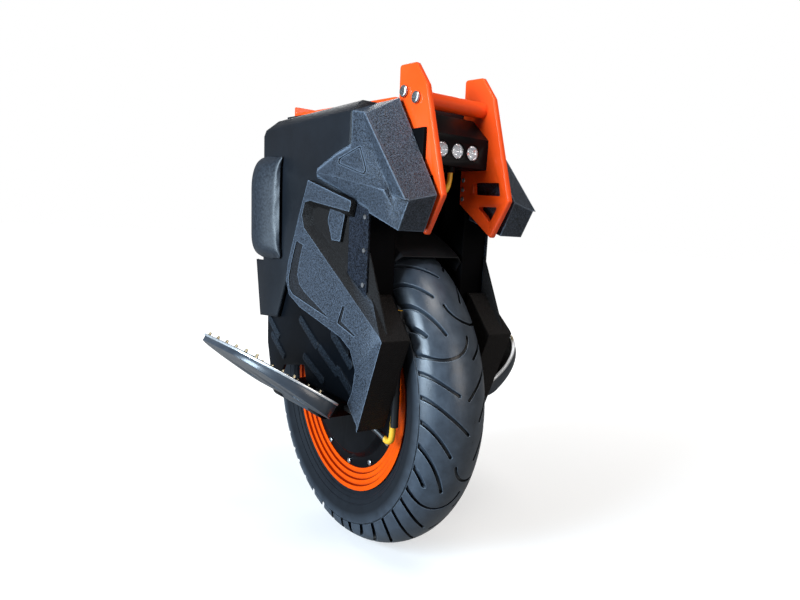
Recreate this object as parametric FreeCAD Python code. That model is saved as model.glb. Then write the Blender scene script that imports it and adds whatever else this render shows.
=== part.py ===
import FreeCAD
import Part
import math
import os

# Electric unicycle with a sprung body. X runs along the axle, the front
# faces -Y, Z is up, and the origin is on the ground under the axle.
# Left pieces lie at +X and right pieces at -X.

# Wheel
TYRE_RADIUS = 251.5
TYRE_WIDTH = 108.0
TYRE_WALL = 9.0
RIM_SEAT_SHARE = 0.6243
RIM_SEAT_WIDTH = 76.0
FLANGE_HEIGHT = 7.0
FLANGE_THICK = 3.0
RIM_STEP = 3.4
RIM_STEP_COUNT = 3
RIM_EASE_SHARE = 0.2
RIM_WELL_DEPTH = 8.0
RIM_BORE_SHARE = 0.4692
COVER_SEAT_SHARE = 0.5169
COVER_SEAT_X = 24.0
COVER_WALL = 5.0
COVER_DOME = 9.0
COVER_BOSS_RADIUS = 34.0
COVER_BOSS_X = 48.0
SIDEWALL_BULGE_SHARE = 0.5
SHOULDER_WIDTH_SHARE = 0.78
CROWN_DROP = 17.0
SHOULDER_LINE = 1.3
TREAD_GROUPS = 7
TREAD_DEPTH = 3.5
TREAD_WIDTH = 4.6
TREAD_EDGE_SHARE = 0.59
TREAD_TIP_SHARE = 0.62
TREAD_SHIFT_SHARE = 1.25
TREAD_SWEEP = 70.0
SCREW_HEAD_RADIUS = 4.6
SCREW_HEAD = 3.0
SMALL_HEAD_RADIUS = 3.2
SMALL_HEAD = 1.5
COVER_SCREW_COUNT = 12

# Motor and axle
AXLE_RADIUS = 12.0
AXLE_LENGTH = 176.0
BEARING_RADIUS = 23.5
BEARING_WIDTH = 12.0
MAGNET_THICK = 7.0
MAGNET_WIDTH = 44.0
AIR_GAP = 0.8
STATOR_WIDTH = 38.0
STATOR_SLOT_COUNT = 24
STATOR_SLOT_WIDTH = 7.0
STATOR_SLOT_DEPTH = 24.0
NUT_RADIUS = 20.0
NUT_HEIGHT = 11.0

# Clearances
FIT = 0.05
RUN_GAP = 0.5
LANE_GAP = 0.8
CUT = 2.0

# Suspension carriage
TRAVEL = 60.0
FENDER_GAP = 9.0
FENDER_WALL = 2.5
FENDER_SIDE_GAP = 1.2
FENDER_SKIRT = 26.0
FENDER_FRONT_ANGLE = 35.0
FENDER_REAR_ANGLE = 62.0
FRAME_GAP = 10.0
HANGER_THICK = 11.3
HANGER_FOOT_WIDTH = 84.0
HANGER_FOOT_DROP = 32.0
HANGER_WIDTH = 184.0
HANGER_NECK_WIDTH = 64.0
HANGER_CORNER = 18.0
CLAMP_DEPTH = 23.0
CLAMP_WIDTH = 30.0
CLAMP_HEIGHT = 50.0
FORK_OFFSET = 12.0
FORK_SPACING = 140.0
FORK_TUBE_RADIUS = 10.7
CLAMP_RISE_SHARE = 0.5058
STANCHION_RADIUS = 8.0
STANCHION_END_GAP = 5.0

# Pedals
HINGE_X = 118.0
HINGE_DROP = 8.5
HINGE_PIN_RADIUS = 6.0
HINGE_EYE_RADIUS = 13.0
HINGE_EYE_LENGTH = 32.0
KNUCKLE_LENGTH = 90.0
KNUCKLE_GAP = 0.2
SHELF_THICK = 24.0
SHELF_END_X = 103.0
PEDAL_TILT = 32.0
PEDAL_LENGTH = 276.0
PEDAL_WIDTH = 156.0
PEDAL_TOP = 15.0
PEDAL_INNER_THICK = 24.0
PEDAL_OUTER_THICK = 10.0
PEDAL_END_SHARE = 0.81
PEDAL_TIP_SHARE = 0.44
PEDAL_NEAR_SHARE = 0.28
pedal_corner_shares = (0.3, 0.74)
pedal_sweep_shares = (0.7, 0.87)
DECK_THICK = 3.0
DECK_RIM = 1.6
SPIKE_RADIUS = 2.6
SPIKE_HEIGHT = 6.0
SPIKE_TIP_SHARE = 0.6
SPIKE_INSET = 16.0
SPIKE_PITCH = 36.0
SPIKE_COUNT = 6
SCALLOP_RADIUS = 52.0
SCALLOP_DEPTH = 9.0
SCALLOP_COUNT = 3
SCALLOP_PITCH = 78.0

# Legs and frame
LEG_FRONT_Y = -146.0
LEG_DEPTH = 46.0
LEG_WIDTH = 41.5
LEG_WALL = 3.0
LEG_RISE = 135.0
LEG_COVER_THICK = 3.0
LEG_COVER_DROP = 20.0
FRAME_THICK = 6.0
FRAME_LENGTH = 300.0
EAR_WIDTH = 34.0
REAR_PLATE_THICK = 4.0
REAR_PLATE_LENGTH = 88.0
REAR_PLATE_HEIGHT = 192.0

# Side shell, pads and skirt
SHELL_WALL = 3.0
SHELL_LENGTH = 285.0
SHELL_TOP_RISE = 80.0
SHELL_HEIGHT = 225.0
SHELL_INNER_X = 62.0
SHELL_SHOULDER = 15.5
SHELL_REAR_CORNER = 24.0
FLAP_LENGTH = 140.0
FLAP_HEIGHT = 96.0
FLAP_REAR = 30.0
PAD_RISE = 9.0
SKIRT_THICK = 4.0
SKIRT_HEIGHT = 196.0
SKIRT_SIDE_GAP = 3.0
SKIRT_TOE = 25.0
OVAL_RISE = 1.5
OVAL_WIDTH = 13.0
RECESS_FLOOR = 2.0
RECESS_FIN = 5.0
LOWER_PAD_LENGTH = 275.0
LOWER_PAD_FOOT = 20.0
LOWER_PAD_REAR_Y = 74.0
LOWER_PAD_HEAD = 20.0
BLOCK_INNER_X = 68.0
UPPER_PAD_INNER_X = 64.3
UPPER_PAD_REACH = 89.0
UPPER_PAD_HEIGHT = 168.0
UPPER_PAD_DROP = 85.0
WING_LENGTH = 199.0
WING_RISE = 8.5
WING_FRONT = 58.0
GROOVE_DEPTH = 1.6
GROOVE_CORNER = 4.0
BROW_RISE = 5.0
CALF_PAD_LENGTH = 130.0
CALF_PAD_HEIGHT = 168.0
CALF_PAD_RISE = 15.0
CALF_PAD_REAR = 45.0

# Cage, headlight and top
PLATE_THICK = 8.0
PLATE_LENGTH = 103.0
PLATE_HEIGHT = 211.0
PLATE_REAR_Y = -138.0
PLATE_DROP = 89.5
PLATE_EDGE = 2.0
BOLT_HEAD_RADIUS = 7.5
BOLT_HEAD = 4.5
CAGE_ARM_THICK = 5.0
CAGE_ARM_LENGTH = 104.0
CAGE_ARM_HEIGHT = 40.0
CROSSBAR_RADIUS = 10.0
CROSSBAR_WALL = 2.5
CROSSBAR_Y = -178.0
CROSSBAR_RISE = 77.0
LIGHT_DEPTH = 42.0
LIGHT_HEIGHT = 66.0
LIGHT_FACE_HEIGHT = 38.0
LIGHT_FRONT_Y = -194.0
LIGHT_SLOPE = 34.0
LAMP_RADIUS = 10.0
LAMP_PITCH = 25.0
LAMP_DEPTH = 14.0
LAMP_WALL = 1.2
LENS_THICK = 2.0
GLAND_RADIUS = 6.0
GLAND_LENGTH = 7.0
LEAD_RADIUS = 3.5
LEAD_ARC_SHARE = 0.45
MOTOR_LEAD_RADIUS = 4.5
CONDUIT_WALL = 1.0
CONDUIT_LENGTH = 165.0
LEAD_DIP = 22.5
TOP_FRONT_RISE = 79.0
TOP_REAR_RISE = 92.0
TOP_COVER_THICK = 27.0
TOP_PLATE_THICK = 6.0
TOP_PLATE_HALF = 54.0
TOP_PLATE_LENGTH = 299.0
TOP_PLATE_INSET = 14.0
TOP_PLATE_LIP = 16.0
GRIP_LENGTH = 140.0
GRIP_WIDTH = 52.0
GRIP_DEPTH = 24.0
REAR_COVER_THICK = 6.0
REAR_COVER_HEIGHT = 80.0

# Inside and rear fittings
BATTERY_THICK = 25.0
BATTERY_LENGTH = 82.0
BATTERY_HEIGHT = 180.0
CONTROLLER_LENGTH = 150.0
CONTROLLER_WIDTH = 90.0
CONTROLLER_HEIGHT = 34.0
FIN_COUNT = 9
FIN_HEIGHT = 8.0
FIN_THICK = 3.0
TAIL_LIGHT_LENGTH = 84.0
TAIL_LIGHT_HEIGHT = 14.0
TAIL_LIGHT_THICK = 5.0
BUTTON_RADIUS = 8.0
BUTTON_LENGTH = 9.0
BUTTON_PROUD = 3.0
BUTTON_GAP = 0.3
PORT_RADIUS = 9.0
PORT_DEPTH = 4.0
CAP_RADIUS = 12.0
CAP_THICK = 3.0
CAP_GAP = 0.4
CAP_PIN_RADIUS = 1.5

# Levels and lanes worked out from the sizes above
AXLE_Z = TYRE_RADIUS
TYRE_HALF = TYRE_WIDTH / 2
BEAD_RADIUS = TYRE_RADIUS * RIM_SEAT_SHARE
RIM_BORE_RADIUS = TYRE_RADIUS * RIM_BORE_SHARE
COVER_SEAT_RADIUS = TYRE_RADIUS * COVER_SEAT_SHARE
FENDER_RADIUS = TYRE_RADIUS + FENDER_GAP + FENDER_WALL
FRAME_Z = AXLE_Z + FENDER_RADIUS + TRAVEL + FRAME_GAP
FENDER_HALF = TYRE_HALF + FENDER_SIDE_GAP + FENDER_WALL
HANGER_IN = FENDER_HALF
HANGER_OUT = HANGER_IN + HANGER_THICK
LEG_IN = FENDER_HALF + LANE_GAP
LEG_OUT = LEG_IN + LEG_WIDTH
LEG_REAR_Y = LEG_FRONT_Y + LEG_DEPTH
SHELL_OUT = LEG_OUT + LEG_COVER_THICK
PAD_OUT = SHELL_OUT + PAD_RISE
FORK_X = HANGER_OUT + FORK_OFFSET
FORK_Y = FORK_SPACING / 2
CLAMP_OUT = HANGER_OUT + CLAMP_DEPTH
SKIRT_IN = CLAMP_OUT
SKIRT_OUT = SKIRT_IN + SKIRT_THICK
PAD_IN = SKIRT_OUT + OVAL_RISE + RUN_GAP
PLATE_OUT = LEG_IN
PLATE_IN = PLATE_OUT - PLATE_THICK
HINGE_Z = AXLE_Z - HINGE_DROP
SHELF_TOP = HINGE_Z + SHELF_THICK / 2
KNUCKLE_SPAN = KNUCKLE_LENGTH / 2 + KNUCKLE_GAP + HINGE_EYE_LENGTH
CLAMP_TOP = AXLE_Z + TYRE_RADIUS * CLAMP_RISE_SHARE
TUBE_BOTTOM = CLAMP_TOP + TRAVEL + LANE_GAP
STANCHION_TOP = FRAME_Z - TRAVEL - STANCHION_END_GAP
LEG_LOW = AXLE_Z + LEG_RISE
LEG_COVER_HEIGHT = FRAME_Z - LEG_COVER_DROP - LEG_LOW
LOWER_PAD_LOW = AXLE_Z - LOWER_PAD_FOOT
LOWER_PAD_HEIGHT = FRAME_Z - LOWER_PAD_HEAD - LOWER_PAD_LOW
SHELL_FRONT_Y = LEG_REAR_Y + LANE_GAP
SHELL_REAR_Y = SHELL_FRONT_Y + SHELL_LENGTH
SHELL_TOP = FRAME_Z + SHELL_TOP_RISE
ARM_OUT = PLATE_OUT + CAGE_ARM_THICK


def vec(x, y, z):
    return FreeCAD.Vector(x, y, z)


X_AXIS = vec(1, 0, 0)
Y_AXIS = vec(0, 1, 0)
Z_AXIS = vec(0, 0, 1)


def box(x0, x1, y0, y1, z0, z1):
    return Part.makeBox(x1 - x0, y1 - y0, z1 - z0, vec(x0, y0, z0))


def rod(radius, start, end):
    axis = end - start
    return Part.makeCylinder(radius, axis.Length, start, axis)


def hex_rod(radius, start, end):
    """A six-sided bar along X, such as a nut."""
    corners = []
    for i in range(7):
        turn = math.radians(60 * i)
        y = start.y + radius * math.cos(turn)
        z = start.z + radius * math.sin(turn)
        corners.append(vec(start.x, y, z))
    return Part.Face(Part.makePolygon(corners)).extrude(end - start)


def wire_yz(points, x):
    corners = [vec(x, y, z) for y, z in points]
    return Part.makePolygon(corners + corners[:1])


def prism(points, x0, x1):
    """A flat outline of (y, z) points carried from x0 to x1."""
    return Part.Face(wire_yz(points, x0)).extrude(vec(x1 - x0, 0, 0))


def taper(points0, x0, points1, x1):
    """A solid with one outline at x0 and another at x1, joined by flat sides."""
    return Part.makeLoft([wire_yz(points0, x0), wire_yz(points1, x1)], True, True)


def rounded(points, radius, x):
    """A closed outline of (y, z) points with every corner rounded."""
    edges = []
    spots = [vec(x, y, z) for y, z in points]
    count = len(spots)
    ends = []
    for i in range(count):
        here = spots[i]
        back = (spots[i - 1] - here).normalize()
        ahead = (spots[(i + 1) % count] - here).normalize()
        half = back.getAngle(ahead) / 2
        reach = radius / math.tan(half)
        middle = (back + ahead).normalize() * (radius / math.sin(half) - radius)
        ends.append((here + back * reach, here + middle, here + ahead * reach))
    for i in range(count):
        edges.append(Part.Arc(*ends[i]).toShape())
        edges.append(Part.LineSegment(ends[i][2], ends[(i + 1) % count][0]).toShape())
    return Part.Wire(edges)


def rounded_prism(points, radius, x0, x1):
    return Part.Face(rounded(points, radius, x0)).extrude(vec(x1 - x0, 0, 0))


def turned(points):
    """A ring turned round the axle from a closed outline of (x, radius) points."""
    corners = [vec(x, 0, AXLE_Z + r) for x, r in points]
    face = Part.Face(Part.makePolygon(corners + corners[:1]))
    return face.revolve(vec(0, 0, AXLE_Z), X_AXIS, 360)


def spread(shares, y0, length, z0, height):
    """Places outline shares on a real length (forward, -Y) and height (+Z)."""
    return [(y0 - a * length, z0 + b * height) for a, b in shares]


def oval_prism(spot0, spot1, radius, x0, x1):
    """A long oval of (y, z) end centres carried from x0 to x1."""
    a = vec(x0, *spot0)
    b = vec(x0, *spot1)
    along = (b - a).normalize() * radius
    across = along.cross(X_AXIS)
    edges = [
        Part.LineSegment(a + across, b + across).toShape(),
        Part.Arc(b + across, b + along, b - across).toShape(),
        Part.LineSegment(b - across, a - across).toShape(),
        Part.Arc(a - across, a - along, a + across).toShape(),
    ]
    return Part.Face(Part.Wire(edges)).extrude(vec(x1 - x0, 0, 0))


def lead(points, radius):
    """A round lead on straight runs joined by tangent arcs."""
    edges = []
    last = points[0]
    for i in range(1, len(points) - 1):
        here = points[i]
        back = points[i - 1] - here
        ahead = points[i + 1] - here
        reach = min(back.Length, ahead.Length) * LEAD_ARC_SHARE
        turn = math.pi - back.getAngle(ahead)
        bend = reach / math.tan(turn / 2)
        print("lead bend radius", round(bend, 1))
        back.normalize()
        ahead.normalize()
        middle = (back + ahead).normalize() * (bend / math.cos(turn / 2) - bend)
        start = here + back * reach
        end = here + ahead * reach
        edges.append(Part.LineSegment(last, start).toShape())
        edges.append(Part.Arc(start, here + middle, end).toShape())
        last = end
    edges.append(Part.LineSegment(last, points[-1]).toShape())
    path = Part.Wire(edges)
    ring = Part.Wire([Part.Circle(points[0], points[1] - points[0], radius).toShape()])
    tube = path.makePipeShell([ring], True, False)
    print("lead volume ratio", round(tube.Volume / (path.Length * math.pi * radius ** 2), 4))
    return tube


def other_side(shape):
    return shape.mirror(vec(0, 0, 0), X_AXIS)


def save(name, shape):
    shape.exportStep("parts/" + name + ".step")


def save_sides(name, shape):
    save(name + "_left", shape)
    save(name + "_right", other_side(shape))


def save_pair(name, shape):
    save(name, Part.makeCompound([shape, other_side(shape)]))


# Tyre: a hollow carcass of arcs with a line round each shoulder and sweeping tread grooves.
def tyre_crown(inset):
    """Outer arcs of the tyre's section, from bead to bead, sunk by an inset."""
    seat = RIM_SEAT_WIDTH / 2 - FIT - inset
    flange = BEAD_RADIUS + FLANGE_HEIGHT + CUT
    middle = BEAD_RADIUS + (TYRE_RADIUS - BEAD_RADIUS) * SIDEWALL_BULGE_SHARE
    wide = TYRE_HALF - inset
    shoulder_x = TYRE_HALF * SHOULDER_WIDTH_SHARE - inset
    shoulder_r = TYRE_RADIUS - CROWN_DROP - inset
    crown = TYRE_RADIUS - inset
    spots = [(seat, flange), (wide, middle), (shoulder_x, shoulder_r), (0, crown),
             (-shoulder_x, shoulder_r), (-wide, middle), (-seat, flange)]
    at = [vec(x, 0, AXLE_Z + r) for x, r in spots]
    arcs = [Part.Arc(at[i], at[i + 1], at[i + 2]).toShape() for i in (0, 2, 4)]
    return arcs, at[0], at[-1]


def tyre_ring(inset, bead):
    """A turned ring under the sunk crown, down to the bead radius."""
    arcs, first, last = tyre_crown(inset)
    low0 = vec(first.x, 0, AXLE_Z + bead)
    low1 = vec(last.x, 0, AXLE_Z + bead)
    edges = [Part.LineSegment(low0, first).toShape()] + arcs
    edges += [Part.LineSegment(last, low1).toShape(), Part.LineSegment(low1, low0).toShape()]
    return Part.Face(Part.Wire(edges)).revolve(vec(0, 0, AXLE_Z), X_AXIS, 360)


# Three places on each groove of a group, from the shoulder inward: shares of half the
# tyre's width and of the sweep.
groove_shares = [
    [(1.03, 0.0), (0.5, 0.43), (-0.2, 0.05)],
    [(1.03, 0.0), (0.66, 0.33), (0.28, 0.6)],
    [(1.03, 0.0), (0.5, 0.45), (0.0, 0.83)],
    [(1.03, 0.0), (0.72, 0.34), (0.4, 0.73)],
    [(1.03, 0.0), (0.73, 0.42), (0.39, 1.0)],
    [(1.03, 0.0), (0.92, 0.18), (0.79, 0.41)],
]


def tread_edge():
    """The radius where the tread ends on the shoulder."""
    return BEAD_RADIUS + (TYRE_RADIUS - BEAD_RADIUS) * TREAD_EDGE_SHARE


def groove_face(start, middle, end):
    """A flat curved band of the tread's width through three points, round at the end."""
    path = Part.Arc(start, middle, end).toShape()
    centre = path.Curve.Center
    side = TREAD_WIDTH / 2

    def beside(point, offset):
        out = (point - centre).normalize()
        return point + out * offset

    along = (end - centre).normalize().cross(Z_AXIS)
    if along * (end - middle) < 0:
        along = -along
    edges = [
        Part.Arc(beside(start, side), beside(middle, side), beside(end, side)).toShape(),
        Part.Arc(beside(end, side), end + along * TREAD_WIDTH * TREAD_TIP_SHARE, beside(end, -side)).toShape(),
        Part.Arc(beside(end, -side), beside(middle, -side), beside(start, -side)).toShape(),
        Part.LineSegment(beside(start, -side), beside(start, side)).toShape(),
    ]
    return Part.Face(Part.Wire(edges))


def groove_cutter(shares):
    """One groove from the left shoulder, at the top of the wheel."""
    level = AXLE_Z + tread_edge()
    spots = [vec(TYRE_HALF * a, -TREAD_SWEEP * b, level) for a, b in shares]
    return groove_face(*spots).extrude(vec(0, 0, TYRE_RADIUS - tread_edge() + CUT))


def tread():
    """All grooves, sunk to one depth, the right side's a little further round."""
    core = tyre_ring(TREAD_DEPTH, BEAD_RADIUS - CUT)
    singles = [groove_cutter(shares).cut(core) for shares in groove_shares]
    steps = len(singles)
    pitch = 360 / (TREAD_GROUPS * steps)
    cutters = []
    for i in range(TREAD_GROUPS * steps):
        left = singles[i % steps].copy()
        right = other_side(left)
        left.rotate(vec(0, 0, AXLE_Z), X_AXIS, i * pitch)
        right.rotate(vec(0, 0, AXLE_Z), X_AXIS, (i + TREAD_SHIFT_SHARE) * pitch)
        cutters += [left, right]
    return Part.makeCompound(cutters)


def shoulder_lines():
    """A fine line round each shoulder where the tread ends."""
    wall = tyre_crown(0)[0][0].Curve
    rise = AXLE_Z + tread_edge() - wall.Center.z
    x = wall.Center.x + math.sqrt(wall.Radius ** 2 - rise ** 2)
    lines = [Part.makeTorus(tread_edge(), SHOULDER_LINE, vec(sign * x, 0, AXLE_Z), X_AXIS) for sign in (-1, 1)]
    return Part.makeCompound(lines)


def tyre():
    carcass = tyre_ring(0, BEAD_RADIUS).cut(tyre_ring(TYRE_WALL, BEAD_RADIUS - CUT))
    return carcass.cut(shoulder_lines()).cut(tread())


# Rim: bead seats and well outside, stepped bowl down to the motor cover.
def rim():
    seat = RIM_SEAT_WIDTH / 2
    lip = seat + FLANGE_THICK
    top = BEAD_RADIUS + FLANGE_HEIGHT
    half = [
        (0, BEAD_RADIUS - RIM_WELL_DEPTH),
        (COVER_SEAT_X - RIM_WELL_DEPTH, BEAD_RADIUS - RIM_WELL_DEPTH),
        (COVER_SEAT_X, BEAD_RADIUS),
        (seat, BEAD_RADIUS),
        (seat, top),
        (lip, top),
        (lip, BEAD_RADIUS),
    ]
    x = lip
    r = BEAD_RADIUS
    drop = (BEAD_RADIUS - COVER_SEAT_RADIUS) / RIM_STEP_COUNT
    for step in range(RIM_STEP_COUNT):
        x -= RIM_STEP
        half.append((x, r - drop * RIM_EASE_SHARE))
        r -= drop
        half.append((x - RIM_STEP * RIM_EASE_SHARE, r))
    half += [(COVER_SEAT_X, COVER_SEAT_RADIUS), (COVER_SEAT_X, RIM_BORE_RADIUS)]
    mirrored = [(-x, r) for x, r in reversed(half[1:])]
    return turned(half + mirrored)


# Motor cover: a domed lid that carries the bearing in its boss.
def motor_cover():
    edge = COVER_SEAT_RADIUS - FIT
    seat = COVER_SEAT_X
    flange = seat + COVER_WALL
    foot = RIM_BORE_RADIUS - COVER_WALL
    dome = flange + COVER_DOME
    bearing_x = COVER_BOSS_X - BEARING_WIDTH
    bore = AXLE_RADIUS + RUN_GAP
    return turned([
        (seat, edge), (flange, edge), (flange, foot), (dome, foot - COVER_DOME),
        (dome, COVER_BOSS_RADIUS + COVER_DOME), (COVER_BOSS_X, COVER_BOSS_RADIUS),
        (COVER_BOSS_X, BEARING_RADIUS), (bearing_x, BEARING_RADIUS), (bearing_x, bore),
        (bearing_x - COVER_WALL, bore), (bearing_x - COVER_WALL, COVER_BOSS_RADIUS),
        (dome - COVER_WALL, COVER_BOSS_RADIUS + COVER_WALL),
        (dome - COVER_WALL, foot - COVER_DOME - COVER_WALL), (seat, foot - COVER_WALL),
    ])


def cover_screws():
    """Button heads round the flange of the motor cover."""
    ring = (COVER_SEAT_RADIUS + RIM_BORE_RADIUS) / 2
    x = COVER_SEAT_X + COVER_WALL
    heads = []
    for i in range(COVER_SCREW_COUNT):
        turn = 2 * math.pi * i / COVER_SCREW_COUNT
        y = ring * math.sin(turn)
        z = AXLE_Z + ring * math.cos(turn)
        heads.append(rod(SCREW_HEAD_RADIUS, vec(x, y, z), vec(x + SCREW_HEAD, y, z)))
    return Part.makeCompound(heads)


def bearing():
    inner = AXLE_RADIUS + FIT
    x1 = COVER_BOSS_X
    x0 = x1 - BEARING_WIDTH
    return turned([(x0, inner), (x1, inner), (x1, BEARING_RADIUS), (x0, BEARING_RADIUS)])


def magnet_ring():
    half = MAGNET_WIDTH / 2
    inner = RIM_BORE_RADIUS - MAGNET_THICK
    outer = RIM_BORE_RADIUS
    return turned([(-half, inner), (half, inner), (half, outer), (-half, outer)])


# Stator: a slotted core on the axle, just inside the magnets.
def stator():
    half = STATOR_WIDTH / 2
    outer = RIM_BORE_RADIUS - MAGNET_THICK - AIR_GAP
    core = turned([(-half, AXLE_RADIUS), (half, AXLE_RADIUS), (half, outer), (-half, outer)])
    slot = box(-half - CUT, half + CUT, -STATOR_SLOT_WIDTH / 2, STATOR_SLOT_WIDTH / 2,
               AXLE_Z + outer - STATOR_SLOT_DEPTH, AXLE_Z + outer + CUT)
    slots = []
    for i in range(STATOR_SLOT_COUNT):
        copy = slot.copy()
        copy.rotate(vec(0, 0, AXLE_Z), X_AXIS, 360 * i / STATOR_SLOT_COUNT)
        slots.append(copy)
    return core.cut(Part.makeCompound(slots))


def axle():
    half = AXLE_LENGTH / 2
    return rod(AXLE_RADIUS, vec(-half, 0, AXLE_Z), vec(half, 0, AXLE_Z))


def axle_nut():
    start = vec(HANGER_OUT, 0, AXLE_Z)
    end = vec(HANGER_OUT + NUT_HEIGHT, 0, AXLE_Z)
    return hex_rod(NUT_RADIUS, start, end).cut(rod(AXLE_RADIUS, start, end))


# Mudguard: a channel bent over the tyre between the legs.
def mudguard():
    edge = FENDER_HALF
    wall = FENDER_WALL
    outer = FENDER_RADIUS
    chamfer = FENDER_GAP
    low = outer - FENDER_SKIRT
    points = [
        (-edge, low), (-edge, outer - chamfer), (chamfer - edge, outer),
        (edge - chamfer, outer), (edge, outer - chamfer), (edge, low),
        (edge - wall, low), (edge - wall, outer - chamfer - wall / 2),
        (edge - chamfer - wall / 2, outer - wall),
        (chamfer + wall / 2 - edge, outer - wall),
        (wall - edge, outer - chamfer - wall / 2), (wall - edge, low),
    ]
    corners = [vec(x, 0, AXLE_Z + r) for x, r in points]
    face = Part.Face(Part.makePolygon(corners + corners[:1]))
    face.rotate(vec(0, 0, AXLE_Z), X_AXIS, FENDER_FRONT_ANGLE)
    sweep = FENDER_FRONT_ANGLE + FENDER_REAR_ANGLE
    return face.revolve(vec(0, 0, AXLE_Z), X_AXIS, -sweep)


# Hanger: the plate that joins axle, fork stanchions, mudguard and pedal shelf.
def hanger():
    foot = HANGER_FOOT_WIDTH / 2
    half = HANGER_WIDTH / 2
    neck = HANGER_NECK_WIDTH / 2
    low = AXLE_Z - HANGER_FOOT_DROP
    top = AXLE_Z + FENDER_RADIUS - FENDER_SKIRT / 2
    shoulder = CLAMP_TOP - CLAMP_HEIGHT / 2
    points = [
        (-foot, low), (-half, shoulder - CLAMP_HEIGHT), (-half, CLAMP_TOP),
        (-neck, CLAMP_TOP + CLAMP_HEIGHT), (-neck, top), (neck, top),
        (neck, CLAMP_TOP + CLAMP_HEIGHT), (half, CLAMP_TOP),
        (half, shoulder - CLAMP_HEIGHT), (foot, low),
    ]
    plate = rounded_prism(points, HANGER_CORNER / 2, HANGER_IN, HANGER_OUT)
    window = rounded_prism(
        [(-neck, AXLE_Z + HANGER_FOOT_DROP + HANGER_CORNER), (0, CLAMP_TOP - HANGER_CORNER),
         (neck, AXLE_Z + HANGER_FOOT_DROP + HANGER_CORNER)],
        HANGER_CORNER / 2, HANGER_IN - CUT, HANGER_OUT + CUT)
    body = plate.cut(window)
    for sign in (-1, 1):
        y = sign * FORK_Y
        clamp = box(HANGER_OUT, CLAMP_OUT, y - CLAMP_WIDTH / 2, y + CLAMP_WIDTH / 2,
                    CLAMP_TOP - CLAMP_HEIGHT, CLAMP_TOP)
        body = body.fuse(clamp)
        body = body.cut(rod(STANCHION_RADIUS, vec(FORK_X, y, CLAMP_TOP - CLAMP_HEIGHT / 2),
                            vec(FORK_X, y, CLAMP_TOP + CUT)))
    span = KNUCKLE_SPAN
    shelf = box(HANGER_OUT, SHELF_END_X, -span, span, HINGE_Z - SHELF_THICK / 2, SHELF_TOP)
    body = body.fuse(shelf)
    for sign in (-1, 1):
        y0 = sign * (span - HINGE_EYE_LENGTH)
        y1 = sign * span
        eye = rod(HINGE_EYE_RADIUS, vec(HINGE_X, y0, HINGE_Z), vec(HINGE_X, y1, HINGE_Z))
        web = box(SHELF_END_X, HINGE_X, min(y0, y1), max(y0, y1),
                  HINGE_Z - SHELF_THICK / 2, SHELF_TOP)
        body = body.fuse(eye).fuse(web)
    body = body.cut(rod(HINGE_PIN_RADIUS, vec(HINGE_X, -span - CUT, HINGE_Z),
                        vec(HINGE_X, span + CUT, HINGE_Z)))
    body = body.cut(rod(AXLE_RADIUS, vec(HANGER_IN - CUT, 0, AXLE_Z), vec(SHELF_END_X, 0, AXLE_Z)))
    nut_room = rod(NUT_RADIUS + CUT, vec(HANGER_OUT, 0, AXLE_Z), vec(SHELF_END_X + CUT, 0, AXLE_Z))
    return body.cut(nut_room).removeSplitter()


def hinge_pin():
    span = KNUCKLE_SPAN
    return rod(HINGE_PIN_RADIUS, vec(HINGE_X, -span, HINGE_Z), vec(HINGE_X, span, HINGE_Z))


def stanchions():
    low = CLAMP_TOP - CLAMP_HEIGHT / 2
    high = STANCHION_TOP
    pair = [rod(STANCHION_RADIUS, vec(FORK_X, y, low), vec(FORK_X, y, high))
            for y in (-FORK_Y, FORK_Y)]
    return Part.makeCompound(pair)


def fork_tubes():
    pair = []
    for y in (-FORK_Y, FORK_Y):
        tube = rod(FORK_TUBE_RADIUS, vec(FORK_X, y, TUBE_BOTTOM), vec(FORK_X, y, FRAME_Z))
        bore_top = STANCHION_TOP + TRAVEL + CUT
        bore = rod(STANCHION_RADIUS + FIT, vec(FORK_X, y, TUBE_BOTTOM - CUT), vec(FORK_X, y, bore_top))
        pair.append(tube.cut(bore))
    return Part.makeCompound(pair)


# Pedal, drawn flat with its hinge at the origin: u runs outward, v along Y.
def pedal_outline(u0, grow, w):
    half = PEDAL_LENGTH / 2 + grow
    width = PEDAL_WIDTH + grow
    inner = half * PEDAL_END_SHARE
    tip = half * PEDAL_TIP_SHARE
    near = width * PEDAL_NEAR_SHARE
    a = vec(u0, -inner, w)
    b = vec(near, -half, w)
    c = vec(width, -tip, w)
    corner = vec(u0 + (near - u0) * pedal_corner_shares[0],
                 -inner - (half - inner) * pedal_corner_shares[1], w)
    sweep = vec(width * pedal_sweep_shares[0], -half * pedal_sweep_shares[1], w)

    def flip(p):
        return vec(p.x, -p.y, p.z)

    edges = [
        Part.Arc(a, corner, b).toShape(),
        Part.Arc(b, sweep, c).toShape(),
        Part.LineSegment(c, flip(c)).toShape(),
        Part.Arc(flip(c), flip(sweep), flip(b)).toShape(),
        Part.Arc(flip(b), flip(corner), flip(a)).toShape(),
        Part.LineSegment(flip(a), a).toShape(),
    ]
    return Part.Face(Part.Wire(edges))


def raise_pedal(shape):
    """Lifts a pedal piece to its parked tilt and sets it on its hinge."""
    shape.rotate(vec(0, 0, 0), Y_AXIS, -PEDAL_TILT)
    shape.translate(vec(HINGE_X, 0, HINGE_Z))
    return shape


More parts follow.
